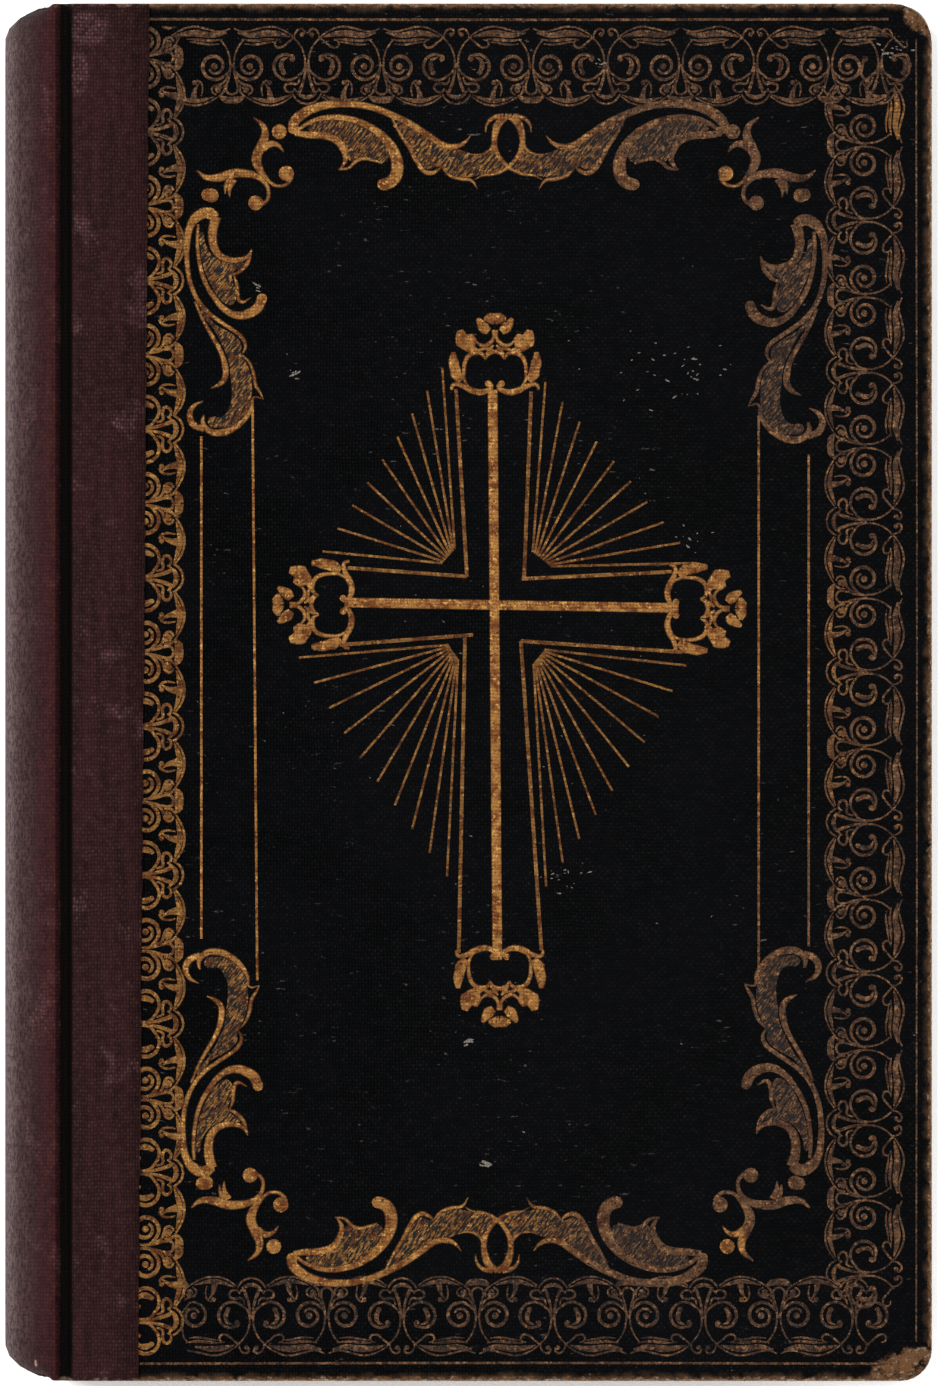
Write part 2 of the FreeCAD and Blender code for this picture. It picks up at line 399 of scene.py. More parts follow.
def gilt_finish(name, sizes, light, worn, dull=0.0, hatch=0.0):
    """Worn gold leaf, by its brightness, how much of it has gone, its browning and its dark cuts; its
    bright spots are painted glints.
    """
    f = Finish(name, 0.45, 0.4, 0.1)
    gold = [channel * light for channel in sizes.gold_colour]
    dark_gold = tinted(gold, (0.36, 0.22, 0.18))
    patchy = f.noise(0.5, 6.0, 0.7)
    f.lay(f.ramp(patchy, 0.39, 0.58), gold, dark_gold)
    # Bright spots of the leaf: painted glints.
    bright = f.noise(1.7, 4.0, 0.65)
    f.lay(f.ramp(bright, 0.53, 0.68), tinted(gold, (1.9, 2.2, 2.4)))
    browned = browning(f, dull)
    brown = f.mixed(f.ramp(patchy, 0.3, 0.7), (0.0075, 0.0048, 0.0038), (0.062, 0.032, 0.018))
    # Orange spots in the browned leaf: painted glints.
    brown = f.mixed(f.ramp(bright, 0.5, 0.66), brown, (0.14, 0.068, 0.031))
    f.lay(f.times(browned, 0.88), brown)
    height, _ = f.weave(*BLACK_THREADS)
    between = f.times(f.ramp(height, 0.5, 0.12), f.ramp(patchy, 0.62, 0.42, 0.35, 1.0))
    f.lay(f.times(between, 0.8), dark_gold)
    gone = gone_leaf(f, browned, worn, hatch)
    f.lay(gone, (0.0045, 0.004, 0.0042))
    f.give("Metallic", f.math("MULTIPLY_ADD", gone, -0.4, 0.4))
    f.give("Roughness", f.math("MULTIPLY_ADD", gone, 0.25, 0.42))
    f.raised(gone, -0.03, 0.8)
    f.raised(height, 0.06, 0.9)
    return f.material


def browning(f, dull):
    """How brown the leaf is: more towards the fore-edge and the ends, less in the bright spots."""
    cloud = f.math("MULTIPLY_ADD", f.noise(0.03, 2.0), 36.0, f.parts[0])
    cloud = f.math("MULTIPLY_ADD", f.math("ABSOLUTE", f.parts[1]), 0.45, cloud)
    left = f.times(f.ramp(f.parts[1], 58.0, 72.0), f.ramp(f.parts[0], -35.2, -36.4))
    browned = f.most(f.ramp(cloud, 50.0, 74.0), f.times(left, 0.9))
    browned = f.most(browned, dull)
    for middle, reach in BRIGHT_SPOTS:
        browned = f.times(browned, f.ramp(f.spot(middle, reach), 0.0, 1.0, 1.0, 0.15))
    return browned


def gone_leaf(f, browned, worn, hatch):
    """Where the leaf has gone: in spots, in flecks and, where it is hatched, in slanting cuts."""
    most = f.math("MULTIPLY_ADD", browned, 0.055, worn)
    least = f.math("SUBTRACT", most, 0.1)
    gone = f.ramp(f.noise(2.2, 5.0, 0.7), most, least)
    gone = f.most(gone, f.times(f.ramp(f.noise(3.4, 2.0), 0.37, 0.3), 0.85))
    if not hatch:
        return gone
    turn = ("Rotation", (0, 0, math.radians(-52)))
    slanted = f.node("Mapping", ("Vector", f.place), turn).outputs[0]
    cuts = f.noise(1.0, 3.0, 0.6, (0.9, 3.6, 1.0), slanted)
    return f.most(gone, f.ramp(cuts, hatch + 0.03, hatch - 0.03))


def blind_finish():
    """Uncoloured tooling: the black cloth pressed smooth, with a faint shine."""
    f = Finish("blind_tooling", 0.38)
    spots = f.noise(1.2, 4.0)
    f.lay(f.ramp(spots, 0.35, 0.7), (0.014, 0.013, 0.014), (0.003, 0.003, 0.0038))
    f.raised(spots, 0.02)
    return f.material


def paper_finish(name, colour, toned, edge=0.0):
    """Old paper: cream, foxed, and browner towards its edges."""
    f = Finish(name, 0.86)
    fibres = f.noise(2.6, 5.0, 0.65, (1.0, 1.0, 4.0))
    f.lay(f.ramp(fibres, 0.3, 0.72), colour, tinted(colour, (0.8, 0.72, 0.6)))
    foxed = f.ramp(f.noise(0.11, 4.0, 0.6), 0.6, 0.76)
    f.lay(f.times(foxed, 0.45), toned)
    head = f.ramp(f.math("ABSOLUTE", f.parts[1]), 78.0, 85.0)
    fore = f.ramp(f.parts[0], 45.0, 56.5)
    f.lay(f.times(f.most(head, fore), 0.3 + edge), toned)
    f.raised(fibres, 0.02, 0.7)
    return f.material


def plain_weave_finish(name, colour, pitch):
    """Undyed cloth, tape, thread or net with its weave."""
    f = Finish(name, 0.85)
    height, parity = f.weave(pitch, pitch * 1.1)
    uneven = f.times(height, f.ramp(parity, 0.0, 1.0, 0.6, 1.0))
    # Lighter thread crowns and darker valleys: painted highlight and painted shade of the weave.
    f.lay(uneven, colour, tinted(colour, (0.45, 0.45, 0.45)))
    f.raised(height, 0.08)
    return f.material


def board_finish():
    """Grey-brown millboard with flecks."""
    f = Finish("millboard", 0.9)
    flecks = f.noise(1.4, 6.0, 0.7)
    f.lay(f.ramp(flecks, 0.3, 0.7), (0.22, 0.18, 0.13), (0.09, 0.07, 0.05))
    f.raised(flecks, 0.05)
    return f.material


def band_finish(sizes):
    """Headband silk in two colours, wound side by side round a cord that follows the spine."""
    f = Finish("band_silk", 0.5)
    off_x = f.math("SUBTRACT", SPINE_CENTRE, f.parts[0])
    off_z = f.math("SUBTRACT", f.parts[2], MIDDLE)
    turn = f.math("ARCTAN2", off_z, off_x)
    wave = f.math("SINE", f.times(turn, 46.0))
    f.lay(f.ramp(wave, -0.12, 0.12), sizes.band_second, sizes.band_colour)
    f.lay(f.ramp(f.noise(0.9, 4.0), 0.5, 0.85, 0.0, 0.6), (0.12, 0.085, 0.055))
    f.raised(f.noise(5.0, 2.0), 0.02)
    return f.material


# Gold leaf: brightness, how much has gone, browning and hatching.
GILT = {
    "gilt_bright": (0.8, 0.385),
    "gilt_worn": (0.84, 0.41),
    "gilt_bar": (0.92, 0.4),
    "gilt_rubbed": (0.5, 0.43, 0.9),
    "gilt_faint": (0.4, 0.45, 1.0),
    "gilt_spine": (0.58, 0.44),
    "gilt_thin": (0.56, 0.43),
    # gilt_rim: the dark rims beside stamped lines, painted shade.
    "gilt_rim": (0.2, 0.38),
    "gilt_hatched": (0.6, 0.4, 0.0, 0.5),
}
# Paper and card: colour where it isn't the sizes' own, the brown that it tones to, and how far that goes.
PAPERS = {
    "endpaper": (None, (0.36, 0.22, 0.11), 0.15),
    "leaves": (None, (0.33, 0.2, 0.1), 0.35),
    "card": ((0.3, 0.25, 0.18), (0.16, 0.11, 0.07)),
    "lining_paper": ((0.42, 0.34, 0.24), (0.2, 0.13, 0.08)),
}
# Plain weaves: colour and thread spacing in millimetres.
WOVEN = {
    "mull": ((0.5, 0.45, 0.36), 0.9),
    "linen_tape": ((0.55, 0.5, 0.4), 0.45),
    "thread": ((0.6, 0.56, 0.47), 0.3),
    "scuff": ((0.15, 0.13, 0.11), 0.35),
}
FINISHES = {}


def make_finish(name, sizes):
    """Makes the material of that name."""
    if name in GILT:
        return gilt_finish(name, sizes, *GILT[name])
    if name in WOVEN:
        return plain_weave_finish(name, *WOVEN[name])
    if name in PAPERS:
        colour, *toning = PAPERS[name]
        return paper_finish(name, colour or sizes.paper_colour, *toning)
    plain = {"blind_tooling": blind_finish, "millboard": board_finish}
    if name in plain:
        return plain[name]()
    coloured = {"black_cloth": black_cloth_finish, "maroon_cloth": maroon_cloth_finish}
    coloured["band_silk"] = band_finish
    return coloured[name](sizes)


def finish_called(name, sizes):
    """The material of that name, made the first time it is asked for."""
    if name not in FINISHES:
        FINISHES[name] = make_finish(name, sizes)
    return FINISHES[name]


# ---- the gilt ornament, in millimetres on the cover ----
# A line is its points and its widths, which are spread evenly along it. A half motif is repeated
# on both sides of its own axis. Spirals are worked out by coil().

def coil(centre, radii, angles, steps):
    """Points of a spiral whose radius goes evenly from radii[0] to radii[1]."""
    points = []
    for i in range(steps + 1):
        share = i / steps
        angle = math.radians(angles[0] + (angles[1] - angles[0]) * share)
        radius = radii[0] + (radii[1] - radii[0]) * share
        points.append((centre[0] + radius * math.cos(angle), centre[1] + radius * math.sin(angle)))
    return points


# Border unit with two spirals: u along the band from the stem, v out towards the cover's edge.
SPIRAL_UNIT = {
    "lines": [
        ([(1.5, 3.3), (0.95, 2.6), (0.45, 1.6), (0.25, 0.5), (0.3, -0.6)] + coil((2.25, -0.1), (1.8, 0.75),
         (-145, 330), 13), (0.22, 0.28, 0.45, 0.5, 0.4, 0.3)),
        ([(0.08, 0.2), (0.38, -1.5), (0.72, -2.7), (0.6, -3.4), (0.0, -3.7)], (0.2, 0.3, 0.3)),
        ([(0.5, -1.2), (1.0, -2.1), (1.7, -2.45), (2.4, -2.7), (2.55, -3.3), (2.0, -3.7)],
         (0.2, 0.35, 0.3, 0.25)),
        ([(1.35, -2.6), (1.8, -3.0), (1.6, -3.4)], (0.5, 0.9, 0.5)),
        ([(1.0, -2.5), (1.05, -3.3), (1.5, -3.8)], (0.2, 0.35, 0.2)),
        ([(0.0, -4.4), (0.9, -4.3), (1.7, -3.8)], (0.95, 0.9, 0.2)),
        ([(1.8, -4.0), (3.2, -4.75), (4.7, -5.05), (6.3, -4.75), (7.6, -3.9)], (0.2, 0.28, 0.2)),
        ([(2.3, -4.0), (3.6, -4.35), (4.8, -4.5), (6.2, -4.2), (7.5, -3.7)], (0.1, 0.5, 0.65, 0.5, 0.1)),
        ([(4.9, -4.2), (4.75, -3.3), (4.5, -2.7), (4.1, -2.2)], (0.9, 0.6, 0.35, 0.1)),
        ([(3.9, -3.9), (3.75, -3.0), (3.95, -2.2), (4.5, -1.85)], (0.15, 0.28, 0.28)),
        ([(0.25, 4.7), (1.4, 4.3), (3.2, 4.65), (5.0, 4.95), (6.6, 4.45), (7.7, 3.75)], (0.2, 0.3, 0.2)),
        ([(0.7, 4.2), (2.4, 3.85), (4.4, 4.1), (6.0, 4.0), (7.4, 3.65)], (0.3, 0.75, 0.95, 0.7, 0.15)),
        ([(1.2, 3.35), (2.6, 3.15), (4.4, 3.3), (5.8, 3.35)], (0.1, 0.4, 0.4, 0.1)),
        ([(1.6, 2.75), (2.8, 2.65), (4.4, 2.9), (5.4, 3.0)], (0.1, 0.3, 0.3, 0.1)),
    ],
    "dots": [(2.25, -0.1, 0.42), (4.75, -2.15, 0.32)],
}

# Border unit with two leaf curls.
LEAF_UNIT = {
    "lines": [
        ([(1.9, 3.7), (1.0, 2.8), (0.42, 1.7), (0.22, 0.5), (0.45, -0.7)] + coil((2.55, 0.0), (1.95, 1.35),
         (-140, 115), 8), (0.22, 0.28, 0.35, 0.45, 0.35)),
        ([(2.3, 1.3), (1.75, 1.15), (1.65, 0.7)], (0.35, 0.45, 0.4)),
        ([(2.35, 1.05), (3.1, 0.7), (3.25, -0.1), (2.95, -0.9)], (0.15, 0.5, 0.7, 0.5)),
        ([(0.08, 0.3), (0.3, -1.4), (0.75, -2.9), (1.0, -3.5)], (0.2, 0.35, 0.45, 0.4)),
        ([(0.85, -1.5), (1.2, -2.3), (2.1, -2.25), (2.8, -2.6), (2.6, -3.2), (1.8, -3.3), (1.5, -2.9)],
         (0.2, 0.35, 0.35, 0.3, 0.2)),
        ([(1.0, -3.5), (1.5, -3.1)], (0.4, 0.2)),
        ([(0.0, -4.9), (0.9, -4.65), (1.5, -4.1), (1.8, -3.6)], (0.25, 0.28, 0.2)),
        ([(0.0, -4.05), (0.7, -3.85), (1.2, -3.6)], (0.6, 0.5, 0.2)),
        ([(1.6, 3.8), (1.25, 4.45), (0.65, 4.65), (0.3, 4.3), (0.55, 3.9)], (0.2, 0.3, 0.3, 0.3)),
        ([(1.5, 3.7), (2.5, 2.85), (3.3, 2.3), (4.0, 2.5), (3.95, 3.1), (3.4, 3.3)],
         (0.25, 0.3, 0.3, 0.15)),
    ],
    "dots": [(1.85, 0.8, 0.33), (2.95, -0.9, 0.32), (0.62, 3.95, 0.3)],
}

# One half of the large scroll at the head: u from the panel's middle line, v as the cover's height.
PANEL_SCROLL = {
    "fields": [
        [(-25.5, 71.6), (-23, 72.6), (-20, 72.3), (-17.6, 71.2), (-15.9, 69.7), (-15.2, 68.1),
         (-15.8, 67.3), (-18.4, 67.9), (-20, 67.4), (-20.6, 68.8), (-21.5, 70.3), (-23.3, 71.0)],
        [(-14.6, 72.9), (-12.4, 71.9), (-9.8, 70.3), (-8, 69.2), (-6.2, 68.9), (-4.5, 68.4), (-3.0, 68.5),
         (-1.9, 69.3), (-1.6, 71.0), (-1.0, 72.6), (0.4, 73.0), (1.5, 71.4), (1.7, 69.2), (0.6, 67.4),
         (-1, 66.2), (-4, 65.6), (-5.6, 65.4), (-7.6, 66.0), (-8.8, 66.8), (-10.2, 66.4), (-11.4, 67.7),
         (-12.8, 70.0)],
    ],
    "lines": [
        ([(-27.2, 71.2), (-27.3, 72.2), (-26.2, 73.4), (-24, 74.4), (-21, 74.75), (-18, 74.45),
         (-15.2, 73.5), (-12.5, 72.2), (-10, 70.6), (-8.3, 69.5), (-6.8, 69.3), (-5.6, 69.8), (-4.8, 70.7)],
         (1.2, 1.4, 1.0, 0.85, 0.9, 0.85, 0.75, 0.05)),
        ([(-27.0, 71.2), (-25.3, 72.35), (-23, 73.0), (-20, 72.75), (-17.5, 71.75), (-15.7, 70.3),
         (-14.5, 68.5), (-14.1, 66.7), (-14.6, 65.1), (-15.9, 64.4)],
         (0.4, 0.6, 0.8, 0.9, 1.2, 1.6, 1.6, 1.5)),
        ([(-27.1, 71.0), (-25.3, 70.8), (-23.3, 70.7), (-21.8, 70.1), (-21.0, 69.0), (-20.7, 67.6),
         (-21.3, 66.5)], (0.7, 1.0, 1.0, 0.8, 0.25)),
        ([(-21.6, 66.4), (-20.3, 66.6), (-19.3, 67.5), (-18.4, 67.8), (-17.2, 67.6), (-16.0, 67.2)],
         (0.2, 0.5, 0.5, 0.3)),
        ([(-14.9, 73.2), (-13.7, 70.9), (-12.5, 69.1), (-11.6, 67.4), (-10.8, 66.3), (-10.0, 65.95),
         (-9.0, 66.3), (-8.5, 66.8)], (0.3, 0.55, 0.65, 0.6, 0.25)),
        ([(-8.6, 66.9), (-7.5, 65.7), (-6, 65.2), (-4.7, 65.0), (-3.9, 63.9)], (0.2, 0.5, 0.5, 0.1)),
        ([(-4.3, 65.1), (-3.4, 65.6), (-2, 65.8), (-0.5, 66.4), (0.8, 67.5), (1.7, 69.2), (1.6, 71.2),
         (0.6, 72.8), (-0.5, 73.2)], (0.1, 0.4, 0.5, 0.7, 0.85, 0.7)),
        ([(-5.6, 68.6), (-4.2, 68.25), (-2.7, 68.6), (-1.9, 69.6), (-1.8, 71.2), (-1.1, 72.7), (0.3, 73.1)],
         (0.1, 0.4, 0.6, 0.7)),
        ([(-2.9, 71.1), (-2.7, 72.2), (-1.8, 73.0), (-0.6, 73.2)], (0.12, 0.5, 0.7)),
    ],
    "dots": [(-15.9, 64.5, 0.75), (-27.3, 71.6, 0.7)],
}

# The long scroll beside the head corner: u from the panel's middle line, v as the cover's height.
SIDE_SCROLL = {
    "fields": [
        [(-38.7, 58.5), (-38.2, 57), (-37.1, 55.3), (-35.4, 54.5), (-33.3, 54.5), (-34.8, 53.2),
         (-34.5, 51.6), (-34.3, 50.0), (-34.9, 49.2), (-36.2, 49.8), (-37.4, 51.6), (-38.4, 54.0),
         (-38.8, 56.5)],
        [(-38.7, 48.6), (-37.1, 46.8), (-35.1, 45.7), (-33.7, 44.4), (-33.6, 43.0), (-32.8, 41.5),
         (-32.3, 39.5), (-32.4, 37.2), (-32.7, 35.8), (-34.1, 34.3), (-36.4, 33.6), (-37.8, 34.0),
         (-37.6, 34.9), (-36.1, 35.0), (-35.2, 36.0), (-34.8, 38.0), (-35.0, 40.0), (-35.2, 42.0),
         (-36.1, 44.2), (-37.3, 46.4)],
    ],
    "lines": [
        ([(-36.8, 60.2), (-37.8, 60.9), (-39.1, 60.5), (-40.1, 59.2), (-40.5, 57), (-40.5, 54.5),
         (-40.1, 52), (-39.2, 49.9), (-37.9, 48.3), (-36.2, 47.0), (-34.7, 46.0), (-33.5, 45.0),
         (-33.1, 43.9), (-33.5, 43.0)], (1.3, 1.5, 0.9, 0.65, 0.6, 0.55, 0.5, 0.55, 0.2)),
        ([(-39.1, 59.4), (-39.2, 57.5), (-39.0, 55), (-38.3, 52.3), (-37.1, 50.2), (-35.7, 48.6),
         (-34.2, 47.9), (-32.7, 48.1), (-31.5, 48.9), (-31.0, 50.0)], (0.4, 0.5, 0.6, 0.7, 1.0, 1.35, 1.3)),
        ([(-36.8, 60.4), (-37.2, 59), (-37.2, 57), (-36.5, 55.6), (-35.2, 54.95), (-33.9, 54.9),
         (-32.7, 55.5), (-32.3, 56.3)], (1.3, 1.2, 0.95, 0.8, 0.6, 0.1)),
        ([(-32.3, 56.1), (-32.8, 54.6), (-33.9, 53.4), (-34.9, 53.0)], (0.1, 0.55, 0.5, 0.2)),
        ([(-34.6, 53), (-34.2, 51.8), (-34.1, 50.5), (-33.7, 49.6), (-32.4, 50.1)],
         (0.2, 0.5, 0.5, 0.5, 0.1)),
        ([(-39.5, 49.6), (-38.5, 47.3), (-37.2, 45.0), (-36.2, 43.2), (-35.7, 41.5), (-35.7, 40.0),
         (-36.3, 39.2), (-37.5, 38.6)], (0.3, 0.5, 0.6, 0.85, 0.8, 0.1)),
        ([(-33.6, 42.9), (-32.7, 42.0), (-32.1, 40.6), (-31.8, 39.0), (-31.2, 38.0), (-30.8, 37.2)],
         (0.2, 0.45, 0.5, 0.1)),
        ([(-30.9, 37.3), (-32.1, 37.4), (-32.3, 36.2), (-33.1, 34.8), (-34.5, 33.6), (-36.1, 33.0),
         (-37.7, 33.2), (-38.5, 34.2), (-38.4, 35.2)], (0.1, 0.4, 0.7, 0.95, 0.8, 0.3)),
        ([(-38.3, 33.4), (-39.7, 34.0), (-40.2, 35.2), (-39.7, 36.3), (-38.5, 37.0)], (0.8, 0.9, 0.7, 0.1)),
    ],
    "dots": [(-31.0, 50.0, 0.65), (-37.6, 60.8, 0.75)],
}

# Two small leafy curls and their dots in a corner.
CORNER_CURLS = {
    "lines": [
        ([(-32.1, 73.0), (-30.9, 72.0), (-30.6, 70.8), (-31.2, 69.2), (-31.7, 67.8), (-31.4, 66.6),
         (-30.8, 65.7), (-29.9, 64.7), (-28.9, 64.3), (-27.8, 64.6), (-27.2, 65.4)],
         (0.15, 0.9, 1.25, 1.3, 0.8, 0.4, 0.45, 0.5)),
        ([(-30.9, 69.1), (-29.9, 69.65), (-29.0, 69.5), (-28.2, 68.6)], (1.0, 0.9, 0.6, 0.12)),
        ([(-39.3, 66.3), (-38.1, 65.4), (-36.4, 65.4), (-34.7, 65.9), (-33.2, 65.9), (-31.8, 65.6),
         (-30.7, 64.8), (-30.2, 63.8), (-30.3, 62.6), (-31.1, 61.9)],
         (0.15, 0.9, 1.25, 1.1, 0.8, 0.5, 0.45, 0.5)),
        ([(-35.2, 65.2), (-35.6, 64.2), (-35.7, 63.3)], (0.8, 0.5, 0.1)),
        ([(-34.6, 65.2), (-35.1, 64.0), (-35.1, 62.9)], (1.0, 0.6, 0.1)),
    ],
    "dots": [(-27.9, 65.9, 0.98), (-31.8, 62.15, 0.95), (-28.8, 71.2, 0.95), (-37.4, 63.1, 0.9),
             (-37.9, 63.2, 0.8)],
}

# One half of the leafy crown on each arm of the cross: u from the arm's middle line, v out along it.
FINIAL = {
    "lines": [
        ([(0.85, 1.2), (0.5, 0.75), (0.95, 0.35), (2.0, 0.1), (3.1, 0.4), (4.2, 0.95), (5.3, 1.05),
         (5.55, 0.4)], (0.7, 0.5, 0.55, 0.75, 0.6, 0.45, 0.3)),
        ([(3.2, 0.5), (3.85, 1.6), (3.95, 2.8), (3.8, 3.9), (3.3, 4.75), (2.4, 5.1), (1.6, 4.95),
         (1.25, 4.3)], (0.3, 0.35, 0.45, 0.5, 0.5, 0.2)),
        ([(1.2, 4.3), (0.85, 4.95), (0.0, 5.3)], (0.2, 0.45, 0.5)),
        ([(4.2, 1.6), (4.9, 2.6), (5.25, 3.9), (5.3, 5.2)], (0.6, 1.1, 1.1, 0.5)),
        ([(4.5, 1.4), (5.3, 2.3), (5.5, 3.2)], (0.3, 0.6, 0.3)),
        ([(2.2, 5.35), (3.2, 5.8), (4.1, 6.8), (4.45, 8.0)], (0.4, 1.1, 1.6, 0.7)),
        ([(2.9, 5.9), (3.0, 6.8), (3.1, 7.5)], (0.7, 1.1, 0.5)),
        ([(3.8, 5.9), (4.6, 6.3), (4.9, 6.5)], (0.6, 0.7, 0.3)),
        ([(0.3, 5.6), (1.4, 5.65), (2.3, 5.3)], (0.3, 0.4, 0.35)),
        ([(0.15, 8.0), (0.2, 7.0), (0.6, 6.4), (1.3, 6.05), (2.0, 6.2), (2.6, 6.9)],
         (0.45, 0.35, 0.5, 0.35, 0.2)),
        ([(0.2, 6.1), (0.7, 5.5), (1.15, 4.9)], (0.25, 0.5, 0.25)),
        ([(0.8, 7.8), (1.4, 8.3), (1.9, 9.0), (2.2, 9.5)], (0.8, 1.2, 0.8, 0.4)),
        ([(0.0, 9.4), (0.7, 9.5), (1.4, 9.4)], (1.2, 1.1, 0.4)),
    ],
    "dots": [(0.85, 1.2, 0.42)],
}


# ---- cloth, boards and paper ----


def show_inner_parts(sizes):
    """Gives the boards, linings, tapes, mull and threads of the part their own finishes."""
    endings = {
        "_board": "millboard",
        "paper_lining": "lining_paper",
        "mull_lining": "mull",
        "_mull_flap": "mull",
        "_tape_slips": "linen_tape",
        "sewing_tape_tail": "linen_tape",
        "sewing_tape_middle": "linen_tape",
        "sewing_tape_head": "linen_tape",
        "kettle_stitches": "thread",
    }
    for name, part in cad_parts.items():
        for ending, finish in endings.items():
            if name.endswith(ending):
                part.data.materials.clear()
                part.data.materials.append(finish_called(finish, sizes))


def cover_height(z, side):
    """A height on the front cover, or the same place on the back cover."""
    return z if side == "front" else THICK - z


def turn_over(bm):
    """Moves a front cover's piece to the back cover."""
    bmesh.ops.scale(bm, vec=(1, 1, -1), verts=bm.verts)
    bmesh.ops.translate(bm, vec=(0, 0, THICK), verts=bm.verts)
    bmesh.ops.reverse_faces(bm, faces=bm.faces)


def make_black_cloth(side, sizes):
    """The black cloth of one cover: over the face, round three edges and 12 mm in on the inside."""
    bm = bmesh.new()
    bmesh.ops.create_cube(bm, size=1.0)
    for corner in bm.verts:
        y = HALF_TALL if corner.co.y > 0 else -HALF_TALL
        x = FORE if corner.co.x > 0 else strip_edge(y) - 0.1
        corner.co = (x, y, FACE if corner.co.z > 0 else TURNED)
    uprights = [e for e in bm.edges if abs(e.verts[0].co.z - e.verts[1].co.z) > 1 and e.verts[0].co.x > 0]
    head = [e for e in uprights if e.verts[0].co.y > 0]
    tail = [e for e in uprights if e.verts[0].co.y < 0]
    for edges, radius in ((head, sizes.corner_radius / MM + 1.0), (tail, sizes.corner_radius / MM)):
        bmesh.ops.bevel(bm, geom=edges, offset=radius, segments=7, profile=0.5, affect="EDGES", material=-1)
    rims = []
    for edge in bm.edges:
        flat = [f for f in edge.link_faces if abs(f.normal.z) > 0.9]
        if len(flat) == 1 and all(f.normal.x > -0.9 for f in edge.link_faces):
            rims.append(edge)
    bmesh.ops.bevel(bm, geom=rims, offset=0.55, segments=4, profile=0.5, affect="EDGES", material=-1)
    cut_away_inside(bm)
    if side == "back":
        turn_over(bm)
    piece = finish_mesh(bm, side + "_black_cloth", [finish_called("black_cloth", sizes)])
    give_thickness(piece, BLACK_THICK)
    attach(piece, side + "_cover")
    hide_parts(side + "_board_cloth")


def cut_away_inside(bm):
    """Opens the cloth at the spine side and inside its turned-in edges."""
    inner_fore, inner_head = FORE - TURN_IN, HALF_TALL - TURN_IN
    for place in ((inner_fore, 0, 0), (0, inner_head, 0), (0, -inner_head, 0)):
        normal = [1 if offset else 0 for offset in place]
        bmesh.ops.bisect_plane(bm, geom=everything(bm), plane_co=place, plane_no=normal)
    gone = []
    for face in bm.faces:
        middle = face.calc_center_median()
        inside = middle.x < inner_fore and abs(middle.y) < inner_head
        if face.normal.x < -0.9 or (face.normal.z < -0.9 and inside):
            gone.append(face)
    bmesh.ops.delete(bm, geom=gone, context="FACES")


# The maroon cloth from the strip over the board's edge and down the joint: x and depth of its outer face,
# then of its turned-in end below.
JOINT = (
    (-42.0, 0.0, -42.0, 3.2), (-45.0, 0.0, -45.0, 3.2), (-48.0, 0.0, -48.0, 3.2),
    (-49.5, 0.0, -49.5, 3.2), (-49.95, 0.06, -49.9, 3.18), (-50.25, 0.3, -50.15, 3.14),
    (-50.45, 0.75, -50.35, 3.1), (-50.65, 1.3, -50.6, 3.02), (-50.95, 1.75, -50.95, 2.95),
    (-51.4, 1.98, -51.4, 2.9), (-51.85, 1.8, -51.75, 2.92), (-52.12, 1.35, -52.0, 2.98),
    (-52.35, 0.95, -52.2, 3.05),
)
# The angles where the cloth's two pieces and the card end on the round of the spine.
SPINE_FROM, SPINE_TO, SPINE_LAP, CARD_TO = 43.6, -44.2, 42.4, 41.3


def joint_profile():
    """The cloth over the joint, as pairs of an outer and a turned-in point."""
    return [((x, THICK - z), (u, THICK - w)) for x, z, u, w in JOINT]


def arc_profile(last, steps):
    """The cloth round the spine, from the joint to an angle from the spine's middle."""
    deep = SPINE_RADIUS - 1.8
    pairs = []
    for i in range(steps + 1):
        turn = math.radians(SPINE_FROM + (last - SPINE_FROM) * i / steps)
        near = turn * 0.885
        out = (SPINE_CENTRE - SPINE_RADIUS * math.cos(turn), MIDDLE + SPINE_RADIUS * math.sin(turn))
        back = (SPINE_CENTRE - deep * math.cos(near), MIDDLE + deep * math.sin(near))
        pairs.append((out, back))
    return pairs


def turned_path(rows):
    """Heights up the cloth between its turned-in ends, each with its depth under the outer face."""
    half = [(i / rows * (HALF_TALL - 1.0), 0.0) for i in range(rows + 1)]
    half += [(HALF_TALL - 0.45, 0.02), (HALF_TALL - 0.14, 0.09), (HALF_TALL, 0.24), (HALF_TALL, 0.76)]
    half += [(HALF_TALL - 0.14, 0.91), (HALF_TALL - 0.45, 0.98), (HALF_TALL - 1.0, 1.0)]
    half += [(HALF_TALL - 5.0, 1.0), (HALF_TALL - TURN_IN, 1.0)]
    return [(-y, depth) for y, depth in reversed(half[1:])] + half


# How the spine's ends are worn: where the rounding starts, over what height and how far it draws in, the
# spine's reach beyond the joint, and where and how far its ends are worn low.
ROUND_FROM, ROUND_OVER, ROUND_IN, SPINE_REACH = 83.2, 4.4, 5.9, 6.5
LOW_FROM, LOW_OVER, LOW_BY = 77.5, 10, 0.6


def drawn_in(x, y):
    """A point of the spine's cloth or card, moved in where the ends of the spine are worn round."""
    off = max(0.0, JOINT_OUTER - x) / SPINE_REACH
    turn = min(1.0, max(0.0, (abs(y) - ROUND_FROM) / ROUND_OVER))
    shift = ROUND_IN * (1 - math.sqrt(1 - turn * turn * 0.95)) * off
    near_end = max(0.0, (abs(y) - LOW_FROM) / LOW_OVER) ** 2
    lower = LOW_BY * math.sin(min(1.0, off * 2) * math.pi / 2) ** 2 * near_end
    return x + shift, math.copysign(abs(y) - lower, y)


